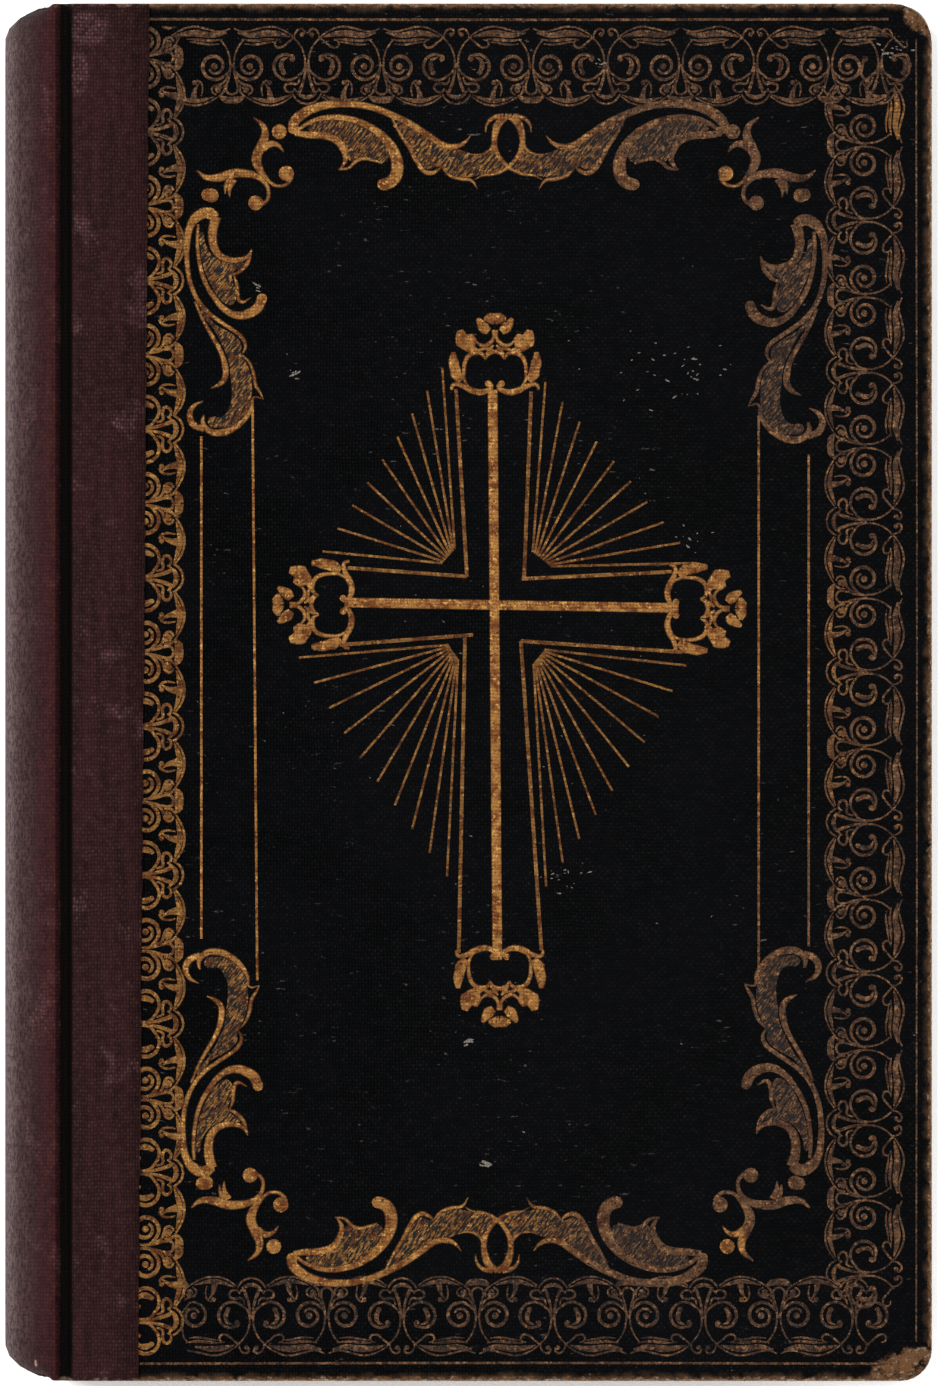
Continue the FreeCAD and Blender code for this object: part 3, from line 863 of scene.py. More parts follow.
def lay_cloth(pairs, seed):
    """A cloth laid over a profile of outer and turned-in points, slightly frayed on the board."""
    rows = turned_path(60)
    across, down = len(pairs) - 1, len(rows) - 1
    chance = random.Random(seed)
    fray = [chance.uniform(-0.1, 0.1) for _ in rows]
    bm = bmesh.new()
    bmesh.ops.create_grid(bm, x_segments=across, y_segments=down, size=0.5)
    for point in bm.verts:
        (x, z), (u, w) = pairs[round((point.co.x + 0.5) * across)]
        j = round((point.co.y + 0.5) * down)
        y, depth = rows[j]
        if x > -42.5:
            x = u = strip_edge(y) + fray[j]
        place = drawn_in(x + (u - x) * depth, y)
        point.co = (*place, z + (w - z) * depth)
    return bm


def make_maroon_cloth(sizes):
    """The maroon cloth in two pieces that meet unseen in the back joint."""
    whole = lay_cloth(joint_profile() + arc_profile(SPINE_TO, 44), 5)
    piece = finish_maroon(whole, "front", "maroon_cloth_front_and_spine", sizes)
    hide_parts("front_cloth_strip", "front_joint_cloth", "spine_cloth")
    strip = lay_cloth(joint_profile() + arc_profile(SPINE_LAP, 2), 8)
    piece = finish_maroon(strip, "back", "maroon_cloth_back", sizes)
    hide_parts("back_cloth_strip", "back_joint_cloth")


def finish_maroon(bm, side, name, sizes):
    """Gives a piece of the maroon cloth its thickness, turned over for the back cover."""
    face_out(bm)
    if side == "back":
        turn_over(bm)
    piece = finish_mesh(bm, name, [finish_called("maroon_cloth", sizes)], 70.0)
    give_thickness(piece, MAROON_THICK)
    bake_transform(piece)
    return piece


def face_out(bm):
    """Turns the faces of a front cover's cloth outwards."""
    bm.normal_update()
    flat = [face for face in bm.faces if face.calc_center_median().z > THICK - 0.01]
    if flat and flat[0].normal.z < 0:
        bmesh.ops.reverse_faces(bm, faces=bm.faces)


def make_spine_card(sizes):
    """The card that stiffens the spine, with its ends worn round like the cloth's."""
    low, high = box_of("spine_card")
    radius = SPINE_CENTRE - low.x
    bm = bmesh.new()
    bmesh.ops.create_grid(bm, x_segments=28, y_segments=90, size=0.5)
    for point in bm.verts:
        turn = math.radians(2 * CARD_TO * point.co.x)
        x, y = drawn_in(SPINE_CENTRE - radius * math.cos(turn), high.y * 2 * point.co.y)
        point.co = (x, y, MIDDLE + radius * math.sin(turn))
    bm.normal_update()
    if any(face.normal.x > 0.9 for face in bm.faces):
        bmesh.ops.reverse_faces(bm, faces=bm.faces)
    piece = finish_mesh(bm, "spine_card_stiffener", [finish_called("card", sizes)], 60.0)
    give_thickness(piece, CARD_THICK)
    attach(piece, "text_block")
    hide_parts("spine_card")


def make_sheet(name, box, sizes, seed):
    """One endpaper that fills a box from spine to fore-edge, hardly noticeably wavy."""
    low, high = box
    chance = random.Random(seed)
    waves = [(chance.uniform(0.02, 0.06), chance.uniform(0.0, TAU)) for _ in range(3)]
    bm = bmesh.new()
    bmesh.ops.create_grid(bm, x_segments=26, y_segments=14, size=0.5)
    for point in bm.verts:
        x = low.x + (high.x - low.x) * (point.co.x + 0.5) ** 1.5
        y = low.y + (high.y - low.y) * (point.co.y + 0.5)
        lift = sum(0.012 * math.sin(y * rate + x * rate * 0.6 + start) for rate, start in waves)
        point.co = (x, y, high.z + lift - 0.02)
    piece = finish_mesh(bm, name, [finish_called("endpaper", sizes)])
    give_thickness(piece, PAPER_THICK)
    return piece


def make_endpapers(side, sizes):
    """The paper pasted inside a cover and the free flyleaf that faces it."""
    box = box_of(side + "_pastedown")
    paste = make_sheet(side + "_pastedown_paper", box, sizes, 31)
    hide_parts(side + "_pastedown")
    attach(paste, side + "_cover")
    box = box_of(side + "_flyleaf")
    free = make_sheet(side + "_flyleaf_paper", box, sizes, 32)
    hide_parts(side + "_flyleaf")
    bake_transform(free)


# ---- the sewn leaves ----


def folded_sheet(bm, apex, fore, middle, half, chance):
    """One folded sheet: two leaves joined by a round fold at the spine."""
    back = [apex + half + (fore - apex) * share for share in (0.0, 0.012, 0.03, 0.055, 0.1, 0.2, 0.4, 0.7)]
    end_one, end_two = fore - chance.uniform(0.02, 0.28), fore - chance.uniform(0.02, 0.28)
    upper = [(x, middle + half) for x in reversed(back)]
    lower = [(x, middle - half) for x in back]
    fold = []
    for step in range(1, 6):
        turn = math.radians(90 + 30 * step)
        fold.append((apex + half + half * math.cos(turn), middle + half * math.sin(turn)))
    points = [(end_one, middle + half)] + upper + fold + lower + [(end_two, middle - half)]
    head, tail = LEAF_END - chance.uniform(0, 0.16), chance.uniform(0, 0.16) - LEAF_END
    verts = [bm.verts.new((x, tail, z)) for x, z in points]
    edges = [bm.edges.new(pair) for pair in zip(verts, verts[1:])]
    made = bmesh.ops.extrude_edge_only(bm, edges=edges)["geom"]
    raised = [v for v in made if isinstance(v, bmesh.types.BMVert)]
    bmesh.ops.translate(bm, vec=(0, head - tail, 0), verts=raised)


def make_section(bm, number, sizes):
    """The folded sheets of one section, nested in each other, where the part's section is."""
    name = f"section_{number:02d}"
    parts = [name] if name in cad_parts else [name + "_fold", name + "_leaves"]
    boxes = [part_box(part) for part in parts]
    apex = min(low.x for low, _ in boxes) / MM
    fore = max(high.x for _, high in boxes) / MM
    low, high = min(b[0].z for b in boxes) / MM, max(b[1].z for b in boxes) / MM
    chance = random.Random(100 + number)
    sheets = sizes.folded_sheets
    for k in range(sheets):
        half = (high - low - 0.14) / 2 * (sheets - k - 0.5) / (sheets - 0.5)
        folded_sheet(bm, apex + 0.12 * k, fore, (low + high) / 2, half, chance)
    return parts


def finish_leaves(bm, name, replaced, sizes):
    """Makes a piece of folded sheets and gives them their thickness."""
    bmesh.ops.recalc_face_normals(bm, faces=bm.faces)
    piece = finish_mesh(bm, name, [finish_called("leaves", sizes)], 60.0)
    give_thickness(piece, LEAF_THICK)
    piece.modifiers["Thickness"].offset = 0.0
    piece.modifiers["Thickness"].use_even_offset = False
    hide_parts(*replaced)
    return piece


def make_text_block(sizes):
    """The middle sections that stay in the block, and the outer ones, each a piece of its own."""
    bm = bmesh.new()
    replaced = []
    for number in range(4, 19):
        replaced += make_section(bm, number, sizes)
    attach(finish_leaves(bm, "middle_sections", replaced, sizes), "text_block")
    for number in (1, 2, 3, 19, 20, 21, 22, 23, 24):
        bm = bmesh.new()
        replaced = make_section(bm, number, sizes)
        name = f"section_{number:02d}"
        piece = finish_leaves(bm, name + "_sheets", replaced, sizes)
        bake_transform(piece)


# ---- headbands ----


def make_headband(name, node_name, sizes):
    """A silk band wound round a cord: a tube along the spine's curve, ridged by each turn of silk."""
    low, high = box_of(node_name)
    tube = (high.y - low.y) / 2
    level = (high.y + low.y) / 2
    reach = (high.z - low.z) / 2
    radius = SPINE_CENTRE - low.x - tube
    half_angle = math.asin(min(0.999, (reach - tube * 0.4) / radius))
    bm = bmesh.new()
    ring = bmesh.ops.create_circle(bm, cap_ends=True, segments=10, radius=tube)["verts"]
    turn = Vector((SPINE_CENTRE - radius, level, MIDDLE))
    bmesh.ops.translate(bm, vec=turn, verts=ring)
    centre = Vector((SPINE_CENTRE, level, MIDDLE))
    bmesh.ops.rotate(bm, cent=centre, matrix=Matrix.Rotation(half_angle, 3, "Y"), verts=bm.verts)
    sweep = {"axis": (0, -1, 0), "angle": 2 * half_angle, "steps": 176, "use_duplicate": False}
    bmesh.ops.spin(bm, geom=everything(bm), cent=centre, **sweep)
    bmesh.ops.remove_doubles(bm, verts=bm.verts, dist=0.001)
    bmesh.ops.recalc_face_normals(bm, faces=bm.faces)
    for point in bm.verts:
        wind(point, centre, radius)
        place = drawn_in(point.co.x, point.co.y)
        point.co = (*place, point.co.z)
    piece = finish_mesh(bm, name, [finish_called("band_silk", sizes)], 60.0)
    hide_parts(node_name)
    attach(piece, "text_block")


def wind(point, centre, radius):
    """Presses a point of the band in where two turns of silk meet."""
    off = point.co - centre
    turn = math.atan2(off.z, -off.x)
    line = centre + Vector((-radius * math.cos(turn), 0, radius * math.sin(turn)))
    ridge = 0.93 + 0.07 * abs(math.sin(turn * 69.0))
    point.co = line + (point.co - line) * ridge


# ---- tooling on the covers ----


# Limits of x that cut nothing off.
COVER = (-60.0, 60.0)


class Tooling:
    """Lines, dots and filled fields stamped on a cover, in millimetres."""

    def __init__(self):
        self.lines, self.dots, self.fields = [], [], []

    def line(self, points, widths, steps=4):
        """A line through the points; the widths in millimetres are spread along it."""
        self.lines.append((points, widths, steps))

    def dot(self, x, y, radius):
        """A round dot."""
        self.dots.append((x, y, radius))

    def stamp(self, motif, place, steps=4, weight=1.0, within=COVER):
        """A half motif and its mirror image moved by place(u, v), kept within two limits of x."""
        for hand in (1, -1):
            for points, widths in motif["lines"]:
                moved = [place(hand * u, v) for u, v in points]
                kept = [(x, y) for x, y in moved if abs(y) < 84.9 and within[0] < x < within[1]]
                if len(kept) > 1:
                    self.line(kept, [width * weight for width in widths], steps)
            for u, v, radius in motif["dots"]:
                x, y = place(hand * u, v)
                if abs(y) < 84.5 and within[0] < x < within[1]:
                    self.dot(x, y, radius)
            for points in motif.get("fields", []):
                self.fields.append([place(hand * u, v) for u, v in points])

    def foil(self, name, side, finish, sizes, hatched="gilt_hatched", rim=0.0):
        """Makes the tooling thin foil on a cover; rim is how far dark edges, painted shade along the
        stamped lines, show beside its lines.
        """
        names = [finish, hatched, finish_for(side, "gilt_rim")]
        bm = bmesh.new()
        self.add_fields(bm)
        if rim:
            # Dark rims under the lines: painted shade along the edges of the stamped lines.
            self.add_lines(bm, rim * 2 - 0.1, 0.06, 2)
            self.add_lines(bm, -0.1, 0.16, 0)
        else:
            self.add_lines(bm, 0.0, 0.11, 0)
        self.add_dots(bm)
        bmesh.ops.translate(bm, vec=(0, 0, cover_height(FACE, side)), verts=bm.verts)
        piece = finish_mesh(bm, side + "_" + name, [finish_called(n, sizes) for n in names], 80.0)
        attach(piece, side + "_cover")
        return piece

    def add_fields(self, bm):
        """Adds the filled fields as very thin slabs in the second material."""
        if not self.fields:
            return
        curve = new_curve("2D")
        curve.extrude = 0.006
        curve.fill_mode = "BOTH"
        for points in self.fields:
            add_spline(curve, points, [1.0], 3).use_cyclic_u = True
        take_curve(bm, curve)
        bmesh.ops.remove_doubles(bm, verts=bm.verts, dist=0.0001)
        bmesh.ops.recalc_face_normals(bm, faces=bm.faces)
        for face in bm.faces:
            face.material_index = 1

    def add_lines(self, bm, wider, height, index):
        """Adds the lines as flattened tubes, wider or narrower than drawn, in one of the materials."""
        curve = new_curve("3D")
        curve.bevel_depth = 0.5
        curve.bevel_resolution = 0
        for points, widths, steps in self.lines:
            add_spline(curve, points, [max(0.06, width + wider) for width in widths], steps)
        tubes = bmesh.new()
        take_curve(tubes, curve)
        bmesh.ops.holes_fill(tubes, edges=[edge for edge in tubes.edges if edge.is_boundary], sides=4)
        bmesh.ops.recalc_face_normals(tubes, faces=tubes.faces)
        for face in tubes.faces:
            face.material_index = index
        bmesh.ops.scale(tubes, vec=(1, 1, height), verts=tubes.verts)
        flat = mesh_from(tubes, "lines")
        bm.from_mesh(flat)
        bpy.data.meshes.remove(flat)

    def add_dots(self, bm):
        """Adds the dots as low domes, all taken from one."""
        first = bmesh.new()
        bmesh.ops.create_uvsphere(first, u_segments=12, v_segments=6, radius=1.0)
        dome = mesh_from(first, "dome")
        for x, y, radius in self.dots:
            moved = dome.copy()
            size = Matrix.Diagonal((radius, radius, 0.05, 1))
            moved.transform(Matrix.Translation((x, y, 0)) @ size)
            bm.from_mesh(moved)
            bpy.data.meshes.remove(moved)
        bpy.data.meshes.remove(dome)


def new_curve(dimensions):
    """An empty curve."""
    curve = bpy.data.curves.new("tooling", "CURVE")
    curve.dimensions = dimensions
    if dimensions == "3D":
        curve.twist_mode = "Z_UP"
    return curve


def add_spline(curve, points, widths, steps):
    """A smooth line through the points, as wide as the widths say."""
    spline = curve.splines.new("BEZIER")
    spline.bezier_points.add(len(points) - 1)
    spline.resolution_u = steps
    for i, (x, y) in enumerate(points):
        knot = spline.bezier_points[i]
        knot.co = (x, y, 0)
        knot.radius = spread(widths, i / max(1, len(points) - 1))
        knot.handle_left_type = knot.handle_right_type = "AUTO"
    return spline


def take_curve(bm, curve):
    """Adds a curve's mesh to a bmesh."""
    holder = bpy.data.objects.new("tooling", curve)
    mesh = bpy.data.meshes.new_from_object(holder)
    bm.from_mesh(mesh)
    bpy.data.meshes.remove(mesh)
    bpy.data.objects.remove(holder)
    bpy.data.curves.remove(curve)


def upright(middle_x, base_y, hand=1):
    """Places a motif at the head, or at the tail where hand is -1."""
    return lambda u, v: (middle_x + u, base_y + v * hand)


def sideways(base_x, middle_y, hand=1):
    """Places a motif with its v going towards the fore-edge, or the spine where hand is -1."""
    return lambda u, v: (base_x + v * hand, middle_y + u)


def finish_for(side, gilt):
    """The gilt finish on the front cover, or blind tooling on the back."""
    return gilt if side == "front" else "blind_tooling"


def make_fillets(side, sizes):
    """The thin ruled lines near the cover's edges."""
    rules = Tooling()
    rules.line([(-40.9, 85.5), (5, 85.42), (53.5, 85.5)], [0.34])
    rules.line([(-41.6, -85.3), (5, -85.2), (54.0, -85.3)], [0.3])
    rules.line([(57.0, 83.0), (57.1, 0), (57.0, -82.5)], [0.2])
    rules.foil("fillets", side, finish_for(side, "gilt_rubbed"), sizes)


def make_border(side, sizes):
    """The scroll border: units with spirals and units with leaf curls in turn, on four bands."""
    pitch = sizes.unit_pitch / MM
    bands = {
        "border_head": (9, lambda k: upright(-29.9 + pitch * k, 79.6), "gilt_rubbed"),
        "border_tail": (10, lambda k: upright(-37.0 + (pitch + 0.07) * k, -79.3, -1), "gilt_faint"),
        "border_fore": (16, lambda k: sideways(50.5, 69.5 - (pitch + 0.06) * k), "gilt_thin"),
        "border_spine": (18, lambda k: sideways(-41.0, 80.6 - (pitch - 0.06) * k, -1), "gilt_spine"),
    }
    for name, (count, place, gilt) in bands.items():
        band = Tooling()
        for k in range(count):
            motif = LEAF_UNIT if k % 2 else SPIRAL_UNIT
            within = (-36.2, 60.0) if name == "border_tail" else COVER
            band.stamp(motif, place(k), 3, 1.15 if name == "border_spine" else 0.9, within)
        if name == "border_head":
            band.stamp(LEAF_UNIT, upright(52.4, 79.6), 3, 0.9, (50.4, 56.0))
        band.foil(name, side, finish_for(side, gilt), sizes)


def make_corner_curls(side, sizes):
    """The leafy curls and dots in the four corners of the panel."""
    for name, place in (("head", upright(4.9, 0.0)), ("tail", upright(4.2, 0.8, -1))):
        curls = Tooling()
        curls.stamp(CORNER_CURLS, place)
        curls.foil("corner_curls_" + name, side, finish_for(side, "gilt_bright"), sizes, rim=0.07)


def make_panel_scrolls(side, sizes):
    """The long scrolls at the head and tail of the panel and beside its corners."""
    hatched = finish_for(side, "gilt_hatched")
    places = {"head": upright(5.2, 0.0), "tail": lambda u, v: (3.8 + u * 0.955, -0.3 - v)}
    for name, place in places.items():
        scroll = Tooling()
        scroll.stamp(PANEL_SCROLL, place)
        scroll.foil("panel_scroll_" + name, side, finish_for(side, "gilt_worn"), sizes, hatched, 0.07)
    for name, hand in (("head", 1), ("tail", -1)):
        scroll = Tooling()
        lowered = 0.9 if hand == 1 else 0.2
        scroll.stamp(SIDE_SCROLL, lambda u, v: (4.9 + u - 0.5 * (hand < 0), hand * (v - (u > 0) * lowered)))
        scroll.foil("side_scrolls_" + name, side, finish_for(side, "gilt_worn"), sizes, hatched, 0.07)


def make_cross(side, sizes):
    """The cross with its outlines, the rays between its arms, and the upright rules of the panel."""
    width = sizes.cross_width / MM
    cross = Tooling()
    cross.line([(3.2, 38.4), (3.8, -34.0)], [width])
    cross.line([(-15.6, 11.4), (26.8, 10.7)], [width])
    outlines = [[(-1.46, 38.5), (-0.06, 14.7)], [(-15.2, 15.8), (-0.06, 14.7)], [(8.1, 38.2), (7.2, 14.6)]]
    outlines += [[(6.9, 14.4), (26.0, 15.3)], [(-16.2, 6.0), (0.7, 7.3)], [(-0.3, 7.2), (-1.1, -33.1)]]
    outlines += [[(6.8, 6.5), (27.3, 5.1)], [(6.8, 6.5), (9.4, -32.8)]]
    cross.foil("cross", side, finish_for(side, "gilt_bar"), sizes, rim=0.05)
    rays = Tooling()
    for ends in outlines:
        rays.line(ends, [0.46], 2)
    fan(rays, 9, [(-3.2, 41.2), (-10.8, 29.6), (-18.4, 17.9)], [(-1.6, 18.2), (-3.2, 16.4)])
    fan(rays, 10, [(9.9, 39.4), (19.6, 28.2), (29.1, 16.4)], [(8.3, 17.8), (10.6, 16.0)])
    fan(rays, 10, [(-21.4, 4.4), (-14.2, -7.6), (-2.6, -23.4)], [(-2.4, 6.0), (-1.2, 4.2)])
    fan(rays, 10, [(27.8, 3.4), (22.0, -7.3), (10.0, -24.7)], [(9.8, 5.4), (8.4, 3.6)])
    rays.foil("rays", side, finish_for(side, "gilt_thin"), sizes)
    rules = Tooling()
    for top, foot in (
        ((-33.8, 32.5), (-33.8, -31.3)),
        ((-27.3, 37.2), (-26.7, -36.6)),
        ((37.0, 35.2), (37.0, -36.5)),
        ((43.35, 30.2), (43.35, -32.3)),
    ):
        rules.line([top, foot], [0.3], 2)
    rules.foil("rules", side, finish_for(side, "gilt_worn"), sizes)


def fan(rays, count, tips, roots):
    """Rays from a line of roots to a line of tips, thin at their roots."""
    for k in range(count):
        share = k / (count - 1)
        root = [a + (b - a) * share for a, b in zip(*roots)]
        rays.line([root, along(tips, share)], [0.3, 0.44, 0.28], 2)


def make_finials(side, sizes):
    """The four leafy crowns at the ends of the cross."""
    crowns = Tooling()
    arms = (upright(3.5, 38.0), upright(4.1, -32.4, -1), sideways(-14.6, 11.1, -1), sideways(25.3, 10.6))
    for place in arms:
        crowns.stamp(FINIAL, place, 4, 1.25)
    crowns.foil("finials", side, finish_for(side, "gilt_worn"), sizes, rim=0.06)


# ---- wear ----


# Where the cloth has been knocked: the middle, width and height of each group, how many, and their size.
KNOCKS = (
    (27, 41, 7, 4, 34, 0.22), (28, 19, 2, 2, 9, 0.25), (13, -24, 4, 3, 16, 0.2),
    (16.5, 80, 1, 0.6, 5, 0.3), (-21.8, 40.4, 0.8, 0.6, 8, 0.3), (-26.5, 51.5, 0.6, 0.6, 7, 0.3),
    (2, 10, 42, 60, 60, 0.14), (54.5, 81.2, 2.4, 1.2, 12, 0.3), (0, -44.5, 0.5, 0.4, 4, 0.45),
    (2.2, -60, 0.6, 0.4, 4, 0.5),
)


def make_scuffs(sizes):
    """Small pale scuffs and specks of glue on the front cover."""
    chance = random.Random(41)
    bm = bmesh.new()
    for x, y, wide, tall, count, size in KNOCKS:
        for _ in range(count):
            radius = size * chance.uniform(0.3, 0.9)
            made = bmesh.ops.create_icosphere(bm, subdivisions=1, radius=radius)["verts"]
            for point in made:
                point.co *= chance.uniform(0.6, 1.25)
            bmesh.ops.scale(bm, vec=(chance.uniform(0.8, 2.3), 0.6, 0.16), verts=made)
            turn = Matrix.Rotation(chance.gauss(0, 0.5), 3, "Z")
            bmesh.ops.rotate(bm, cent=(0, 0, 0), matrix=turn, verts=made)
            spot = (x + chance.gauss(0, wide / 2), y + chance.gauss(0, tall / 2), FACE)
            bmesh.ops.translate(bm, vec=spot, verts=made)
    piece = finish_mesh(bm, "front_scuffs", [finish_called("scuff", sizes)])
    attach(piece, "front_cover")


# ---- the stage ----


# The camera and the soft square lights: place in metres, then the lens in mm, or the size and the power.
CAMERA = ((0.0002, -0.0001, 3.2), 647.8)
LIGHTS = {
    "light_left": ((-0.75, 0.35, 0.9), 0.5, 16.0),
    "light_right": ((0.7, 0.2, 1.0), 0.7, 9.0),
    "light_tail": ((0.1, -0.9, 0.7), 0.8, 6.0),
}


def make_stage():
    """A pale floor, a white world, soft lights and the camera straight above the front cover."""
    bm = bmesh.new()
    bmesh.ops.create_grid(bm, x_segments=1, y_segments=1, size=1.0)
    bmesh.ops.scale(bm, vec=(2.0, 2.0, 1.0), verts=bm.verts)
    pale = Finish("floor_pale", 0.8)
    pale.lay(pale.noise(0.01, 2.0), (0.9, 0.9, 0.9), (0.86, 0.86, 0.86))
    floor = add_object("floor", mesh_from(bm, "floor"))
    floor.data.materials.append(pale.material)
    scene = bpy.context.scene
    scene.world = bpy.data.worlds.new("studio")
    scene.world.use_nodes = True
    sky = scene.world.node_tree.nodes["Background"].inputs
    sky["Color"].default_value = (1, 1, 1, 1)
    sky["Strength"].default_value = 0.55
    for name, (place, size, power) in LIGHTS.items():
        add_light(name, place, size, power)
    camera = bpy.data.cameras.new("camera")
    seen = add_object("camera", camera)
    seen.location, camera.lens = CAMERA
    camera.sensor_width = 36.0
    camera.dof.use_dof = False
    scene.camera = seen
    scene.view_settings.view_transform = "Standard"


def add_light(name, place, size, power):
    """A soft square light that faces the book."""
    light = bpy.data.lights.new(name, "AREA")
    light.size = size
    light.energy = power
    lamp = add_object(name, light)
    lamp.location = place
    lamp.rotation_euler = (Vector((0, 0, 0.02)) - Vector(place)).to_track_quat("-Z", "Y").to_euler()


# ---- the add-on ----


def colour(name, description, default):
    """A colour that a user may change."""
    return bpy.props.FloatVectorProperty(
        name=name, description=description, default=default, size=3, min=0.0, max=1.0, subtype="COLOR"
    )


def length(name, description, default):
    """A length that a user may change."""
    return bpy.props.FloatProperty(
        name=name, description=description, default=default, min=0.0, unit="LENGTH", subtype="DISTANCE"
    )


class PrayerBookSizes(bpy.types.PropertyGroup):
    """Sizes and colours of the prayer book's looks."""

    corner_radius: length("Corner radius", "Roundness of the covers' fore corners", 0.004)
    unit_pitch: length("Border unit", "Distance from one stem of the gilt border to the next", 0.0095)
    cross_width: length("Cross width", "Width of the gilt cross's bars", 0.0013)
    folded_sheets: bpy.props.IntProperty(
        name="Sheets a section", description="Folded sheets sewn in each section", default=4, min=1, max=6
    )
    black_colour: colour("Black cloth", "Colour of the cloth on the covers", (0.0012, 0.0013, 0.0016))
    maroon_colour: colour("Maroon cloth", "Colour of the cloth on the spine", (0.0145, 0.0042, 0.0045))
    gold_colour: colour("Gold", "Colour of the gold leaf", (0.225, 0.1, 0.024))
    paper_colour: colour("Paper", "Colour of the leaves and endpapers", (0.6, 0.49, 0.33))
    band_colour: colour("Headband", "First silk of the headbands", (0.17, 0.022, 0.02))
    band_second: colour("Headband stripe", "Second silk of the headbands", (0.56, 0.47, 0.33))


def sizes_of(context):
    """The sizes and colours in use."""
    return context.scene.prayer_book_sizes


class PRAYERBOOK_OT_stage(bpy.types.Operator):
    """Set the floor, the lights and the camera"""

    bl_idname = "prayerbook.stage"
    bl_label = "Set the Stage"

    def execute(self, context):
        make_stage()
        return {"FINISHED"}


class PRAYERBOOK_OT_inner_parts(bpy.types.Operator):
    """Give the boards, linings, tapes and threads their finishes"""

    bl_idname = "prayerbook.inner_parts"
    bl_label = "Finish the Inner Parts"

    def execute(self, context):
        show_inner_parts(sizes_of(context))
        return {"FINISHED"}


class PRAYERBOOK_OT_black_cloth(bpy.types.Operator):
    """Cover both boards with black cloth"""

    bl_idname = "prayerbook.black_cloth"
    bl_label = "Cover with Black Cloth"

    def execute(self, context):
        for side in SIDES:
            make_black_cloth(side, sizes_of(context))
        return {"FINISHED"}


class PRAYERBOOK_OT_maroon_cloth(bpy.types.Operator):
    """Lay the maroon cloth over the spine, the joints and the strips on the boards"""

    bl_idname = "prayerbook.maroon_cloth"
    bl_label = "Cover the Spine"

    def execute(self, context):
        make_maroon_cloth(sizes_of(context))
        make_spine_card(sizes_of(context))
        return {"FINISHED"}


class PRAYERBOOK_OT_endpapers(bpy.types.Operator):
    """Paste in the endpapers"""

    bl_idname = "prayerbook.endpapers"
    bl_label = "Add the Endpapers"

    def execute(self, context):
        for side in SIDES:
            make_endpapers(side, sizes_of(context))
        return {"FINISHED"}


class PRAYERBOOK_OT_leaves(bpy.types.Operator):
    """Fold and sew the leaves"""

    bl_idname = "prayerbook.leaves"
    bl_label = "Add the Leaves"

    def execute(self, context):
        make_text_block(sizes_of(context))
        return {"FINISHED"}


class PRAYERBOOK_OT_headbands(bpy.types.Operator):
    """Wind the silk headband and tailband"""

    bl_idname = "prayerbook.headbands"
    bl_label = "Add the Headbands"

    def execute(self, context):
        make_headband("silk_headband", "headband", sizes_of(context))
        make_headband("silk_tailband", "tailband", sizes_of(context))
        return {"FINISHED"}


class PRAYERBOOK_OT_border(bpy.types.Operator):
    """Stamp the ruled lines and the scroll border on both covers"""

    bl_idname = "prayerbook.border"
    bl_label = "Stamp the Border"

    def execute(self, context):
        for side in SIDES:
            make_fillets(side, sizes_of(context))
            make_border(side, sizes_of(context))
        return {"FINISHED"}


class PRAYERBOOK_OT_scrolls(bpy.types.Operator):
    """Stamp the corner curls and the long scrolls on both covers"""

    bl_idname = "prayerbook.scrolls"
    bl_label = "Stamp the Scrolls"

    def execute(self, context):
        for side in SIDES:
            make_corner_curls(side, sizes_of(context))
            make_panel_scrolls(side, sizes_of(context))
        return {"FINISHED"}


class PRAYERBOOK_OT_cross(bpy.types.Operator):
    """Stamp the cross with its rays, rules and leafy crowns on both covers"""

    bl_idname = "prayerbook.cross"
    bl_label = "Stamp the Cross"

    def execute(self, context):
        for side in SIDES:
            make_cross(side, sizes_of(context))
            make_finials(side, sizes_of(context))
        return {"FINISHED"}


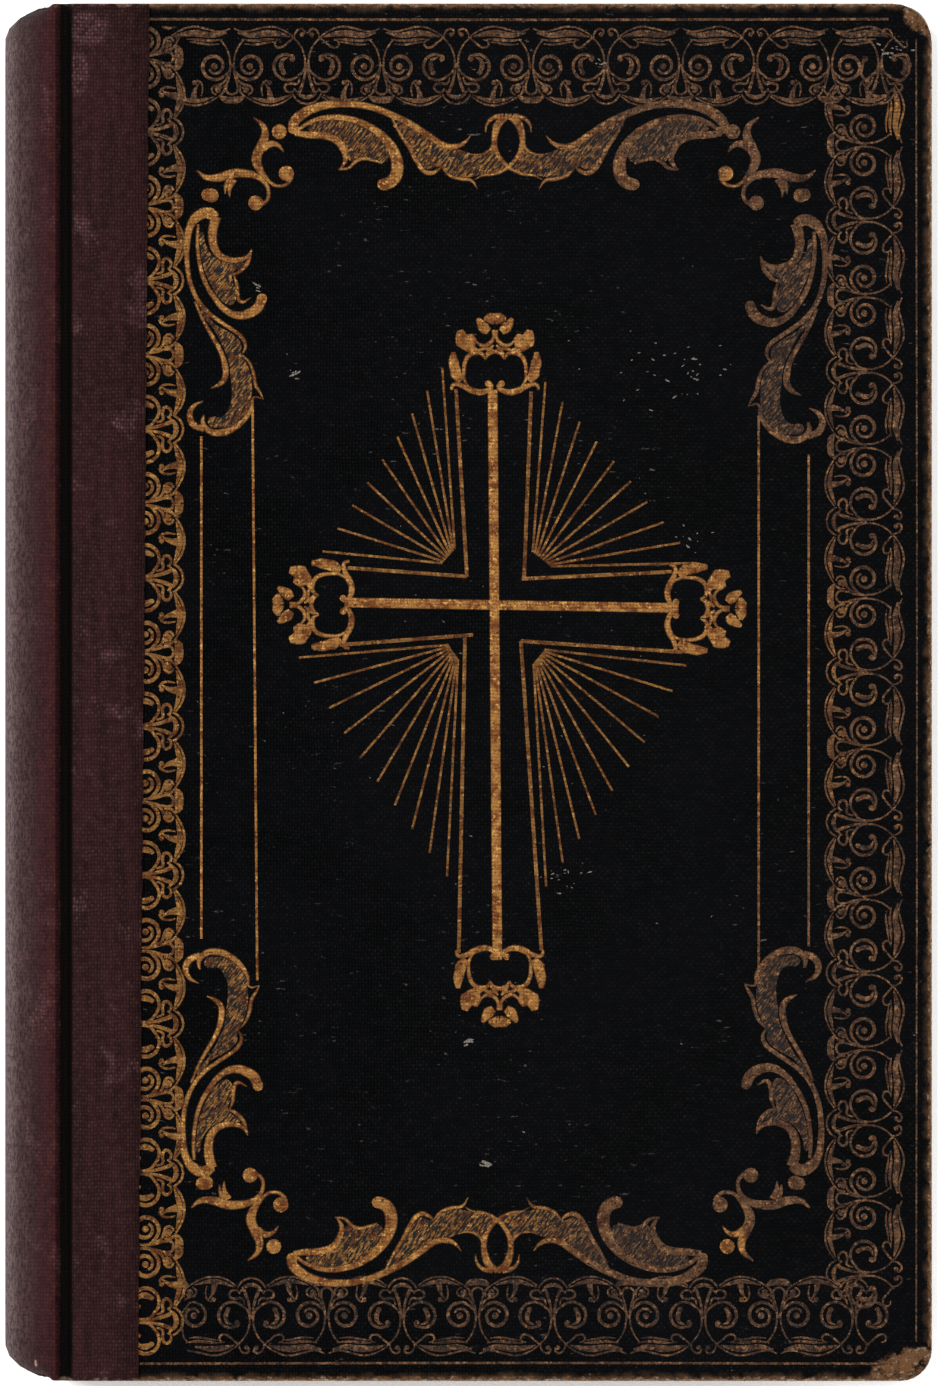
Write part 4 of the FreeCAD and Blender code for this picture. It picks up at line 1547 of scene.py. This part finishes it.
class PRAYERBOOK_OT_wear(bpy.types.Operator):
    """Scatter scuffs and specks over the front cover"""

    bl_idname = "prayerbook.wear"
    bl_label = "Add the Wear"

    def execute(self, context):
        make_scuffs(sizes_of(context))
        return {"FINISHED"}


OPERATORS = (
    PRAYERBOOK_OT_stage,
    PRAYERBOOK_OT_inner_parts,
    PRAYERBOOK_OT_black_cloth,
    PRAYERBOOK_OT_maroon_cloth,
    PRAYERBOOK_OT_endpapers,
    PRAYERBOOK_OT_leaves,
    PRAYERBOOK_OT_headbands,
    PRAYERBOOK_OT_border,
    PRAYERBOOK_OT_scrolls,
    PRAYERBOOK_OT_cross,
    PRAYERBOOK_OT_wear,
)


class PRAYERBOOK_PT_panel(bpy.types.Panel):
    """The prayer book's steps, sizes and colours"""

    bl_idname = "PRAYERBOOK_PT_panel"
    bl_label = "Prayer Book"
    bl_space_type = "VIEW_3D"
    bl_region_type = "UI"
    bl_category = "Prayer Book"

    def draw(self, context):
        for name in PrayerBookSizes.__annotations__:
            self.layout.prop(sizes_of(context), name)
        for step in OPERATORS:
            self.layout.operator(step.bl_idname)


CLASSES = (PrayerBookSizes, *OPERATORS, PRAYERBOOK_PT_panel)


def register():
    """Adds the sizes, the operators and the panel."""
    for kind in CLASSES:
        bpy.utils.register_class(kind)
    bpy.types.Scene.prayer_book_sizes = bpy.props.PointerProperty(type=PrayerBookSizes)


def unregister():
    """Takes them away again."""
    del bpy.types.Scene.prayer_book_sizes
    for kind in reversed(CLASSES):
        bpy.utils.unregister_class(kind)


def main():
    """Builds the whole book."""
    register()
    bpy.ops.prayerbook.stage()
    bpy.ops.prayerbook.inner_parts()
    bpy.ops.prayerbook.black_cloth()
    bpy.ops.prayerbook.maroon_cloth()
    bpy.ops.prayerbook.endpapers()
    bpy.ops.prayerbook.leaves()
    bpy.ops.prayerbook.headbands()
    bpy.ops.prayerbook.border()
    bpy.ops.prayerbook.scrolls()
    bpy.ops.prayerbook.cross()
    bpy.ops.prayerbook.wear()


if __name__ == "__main__":
    main()
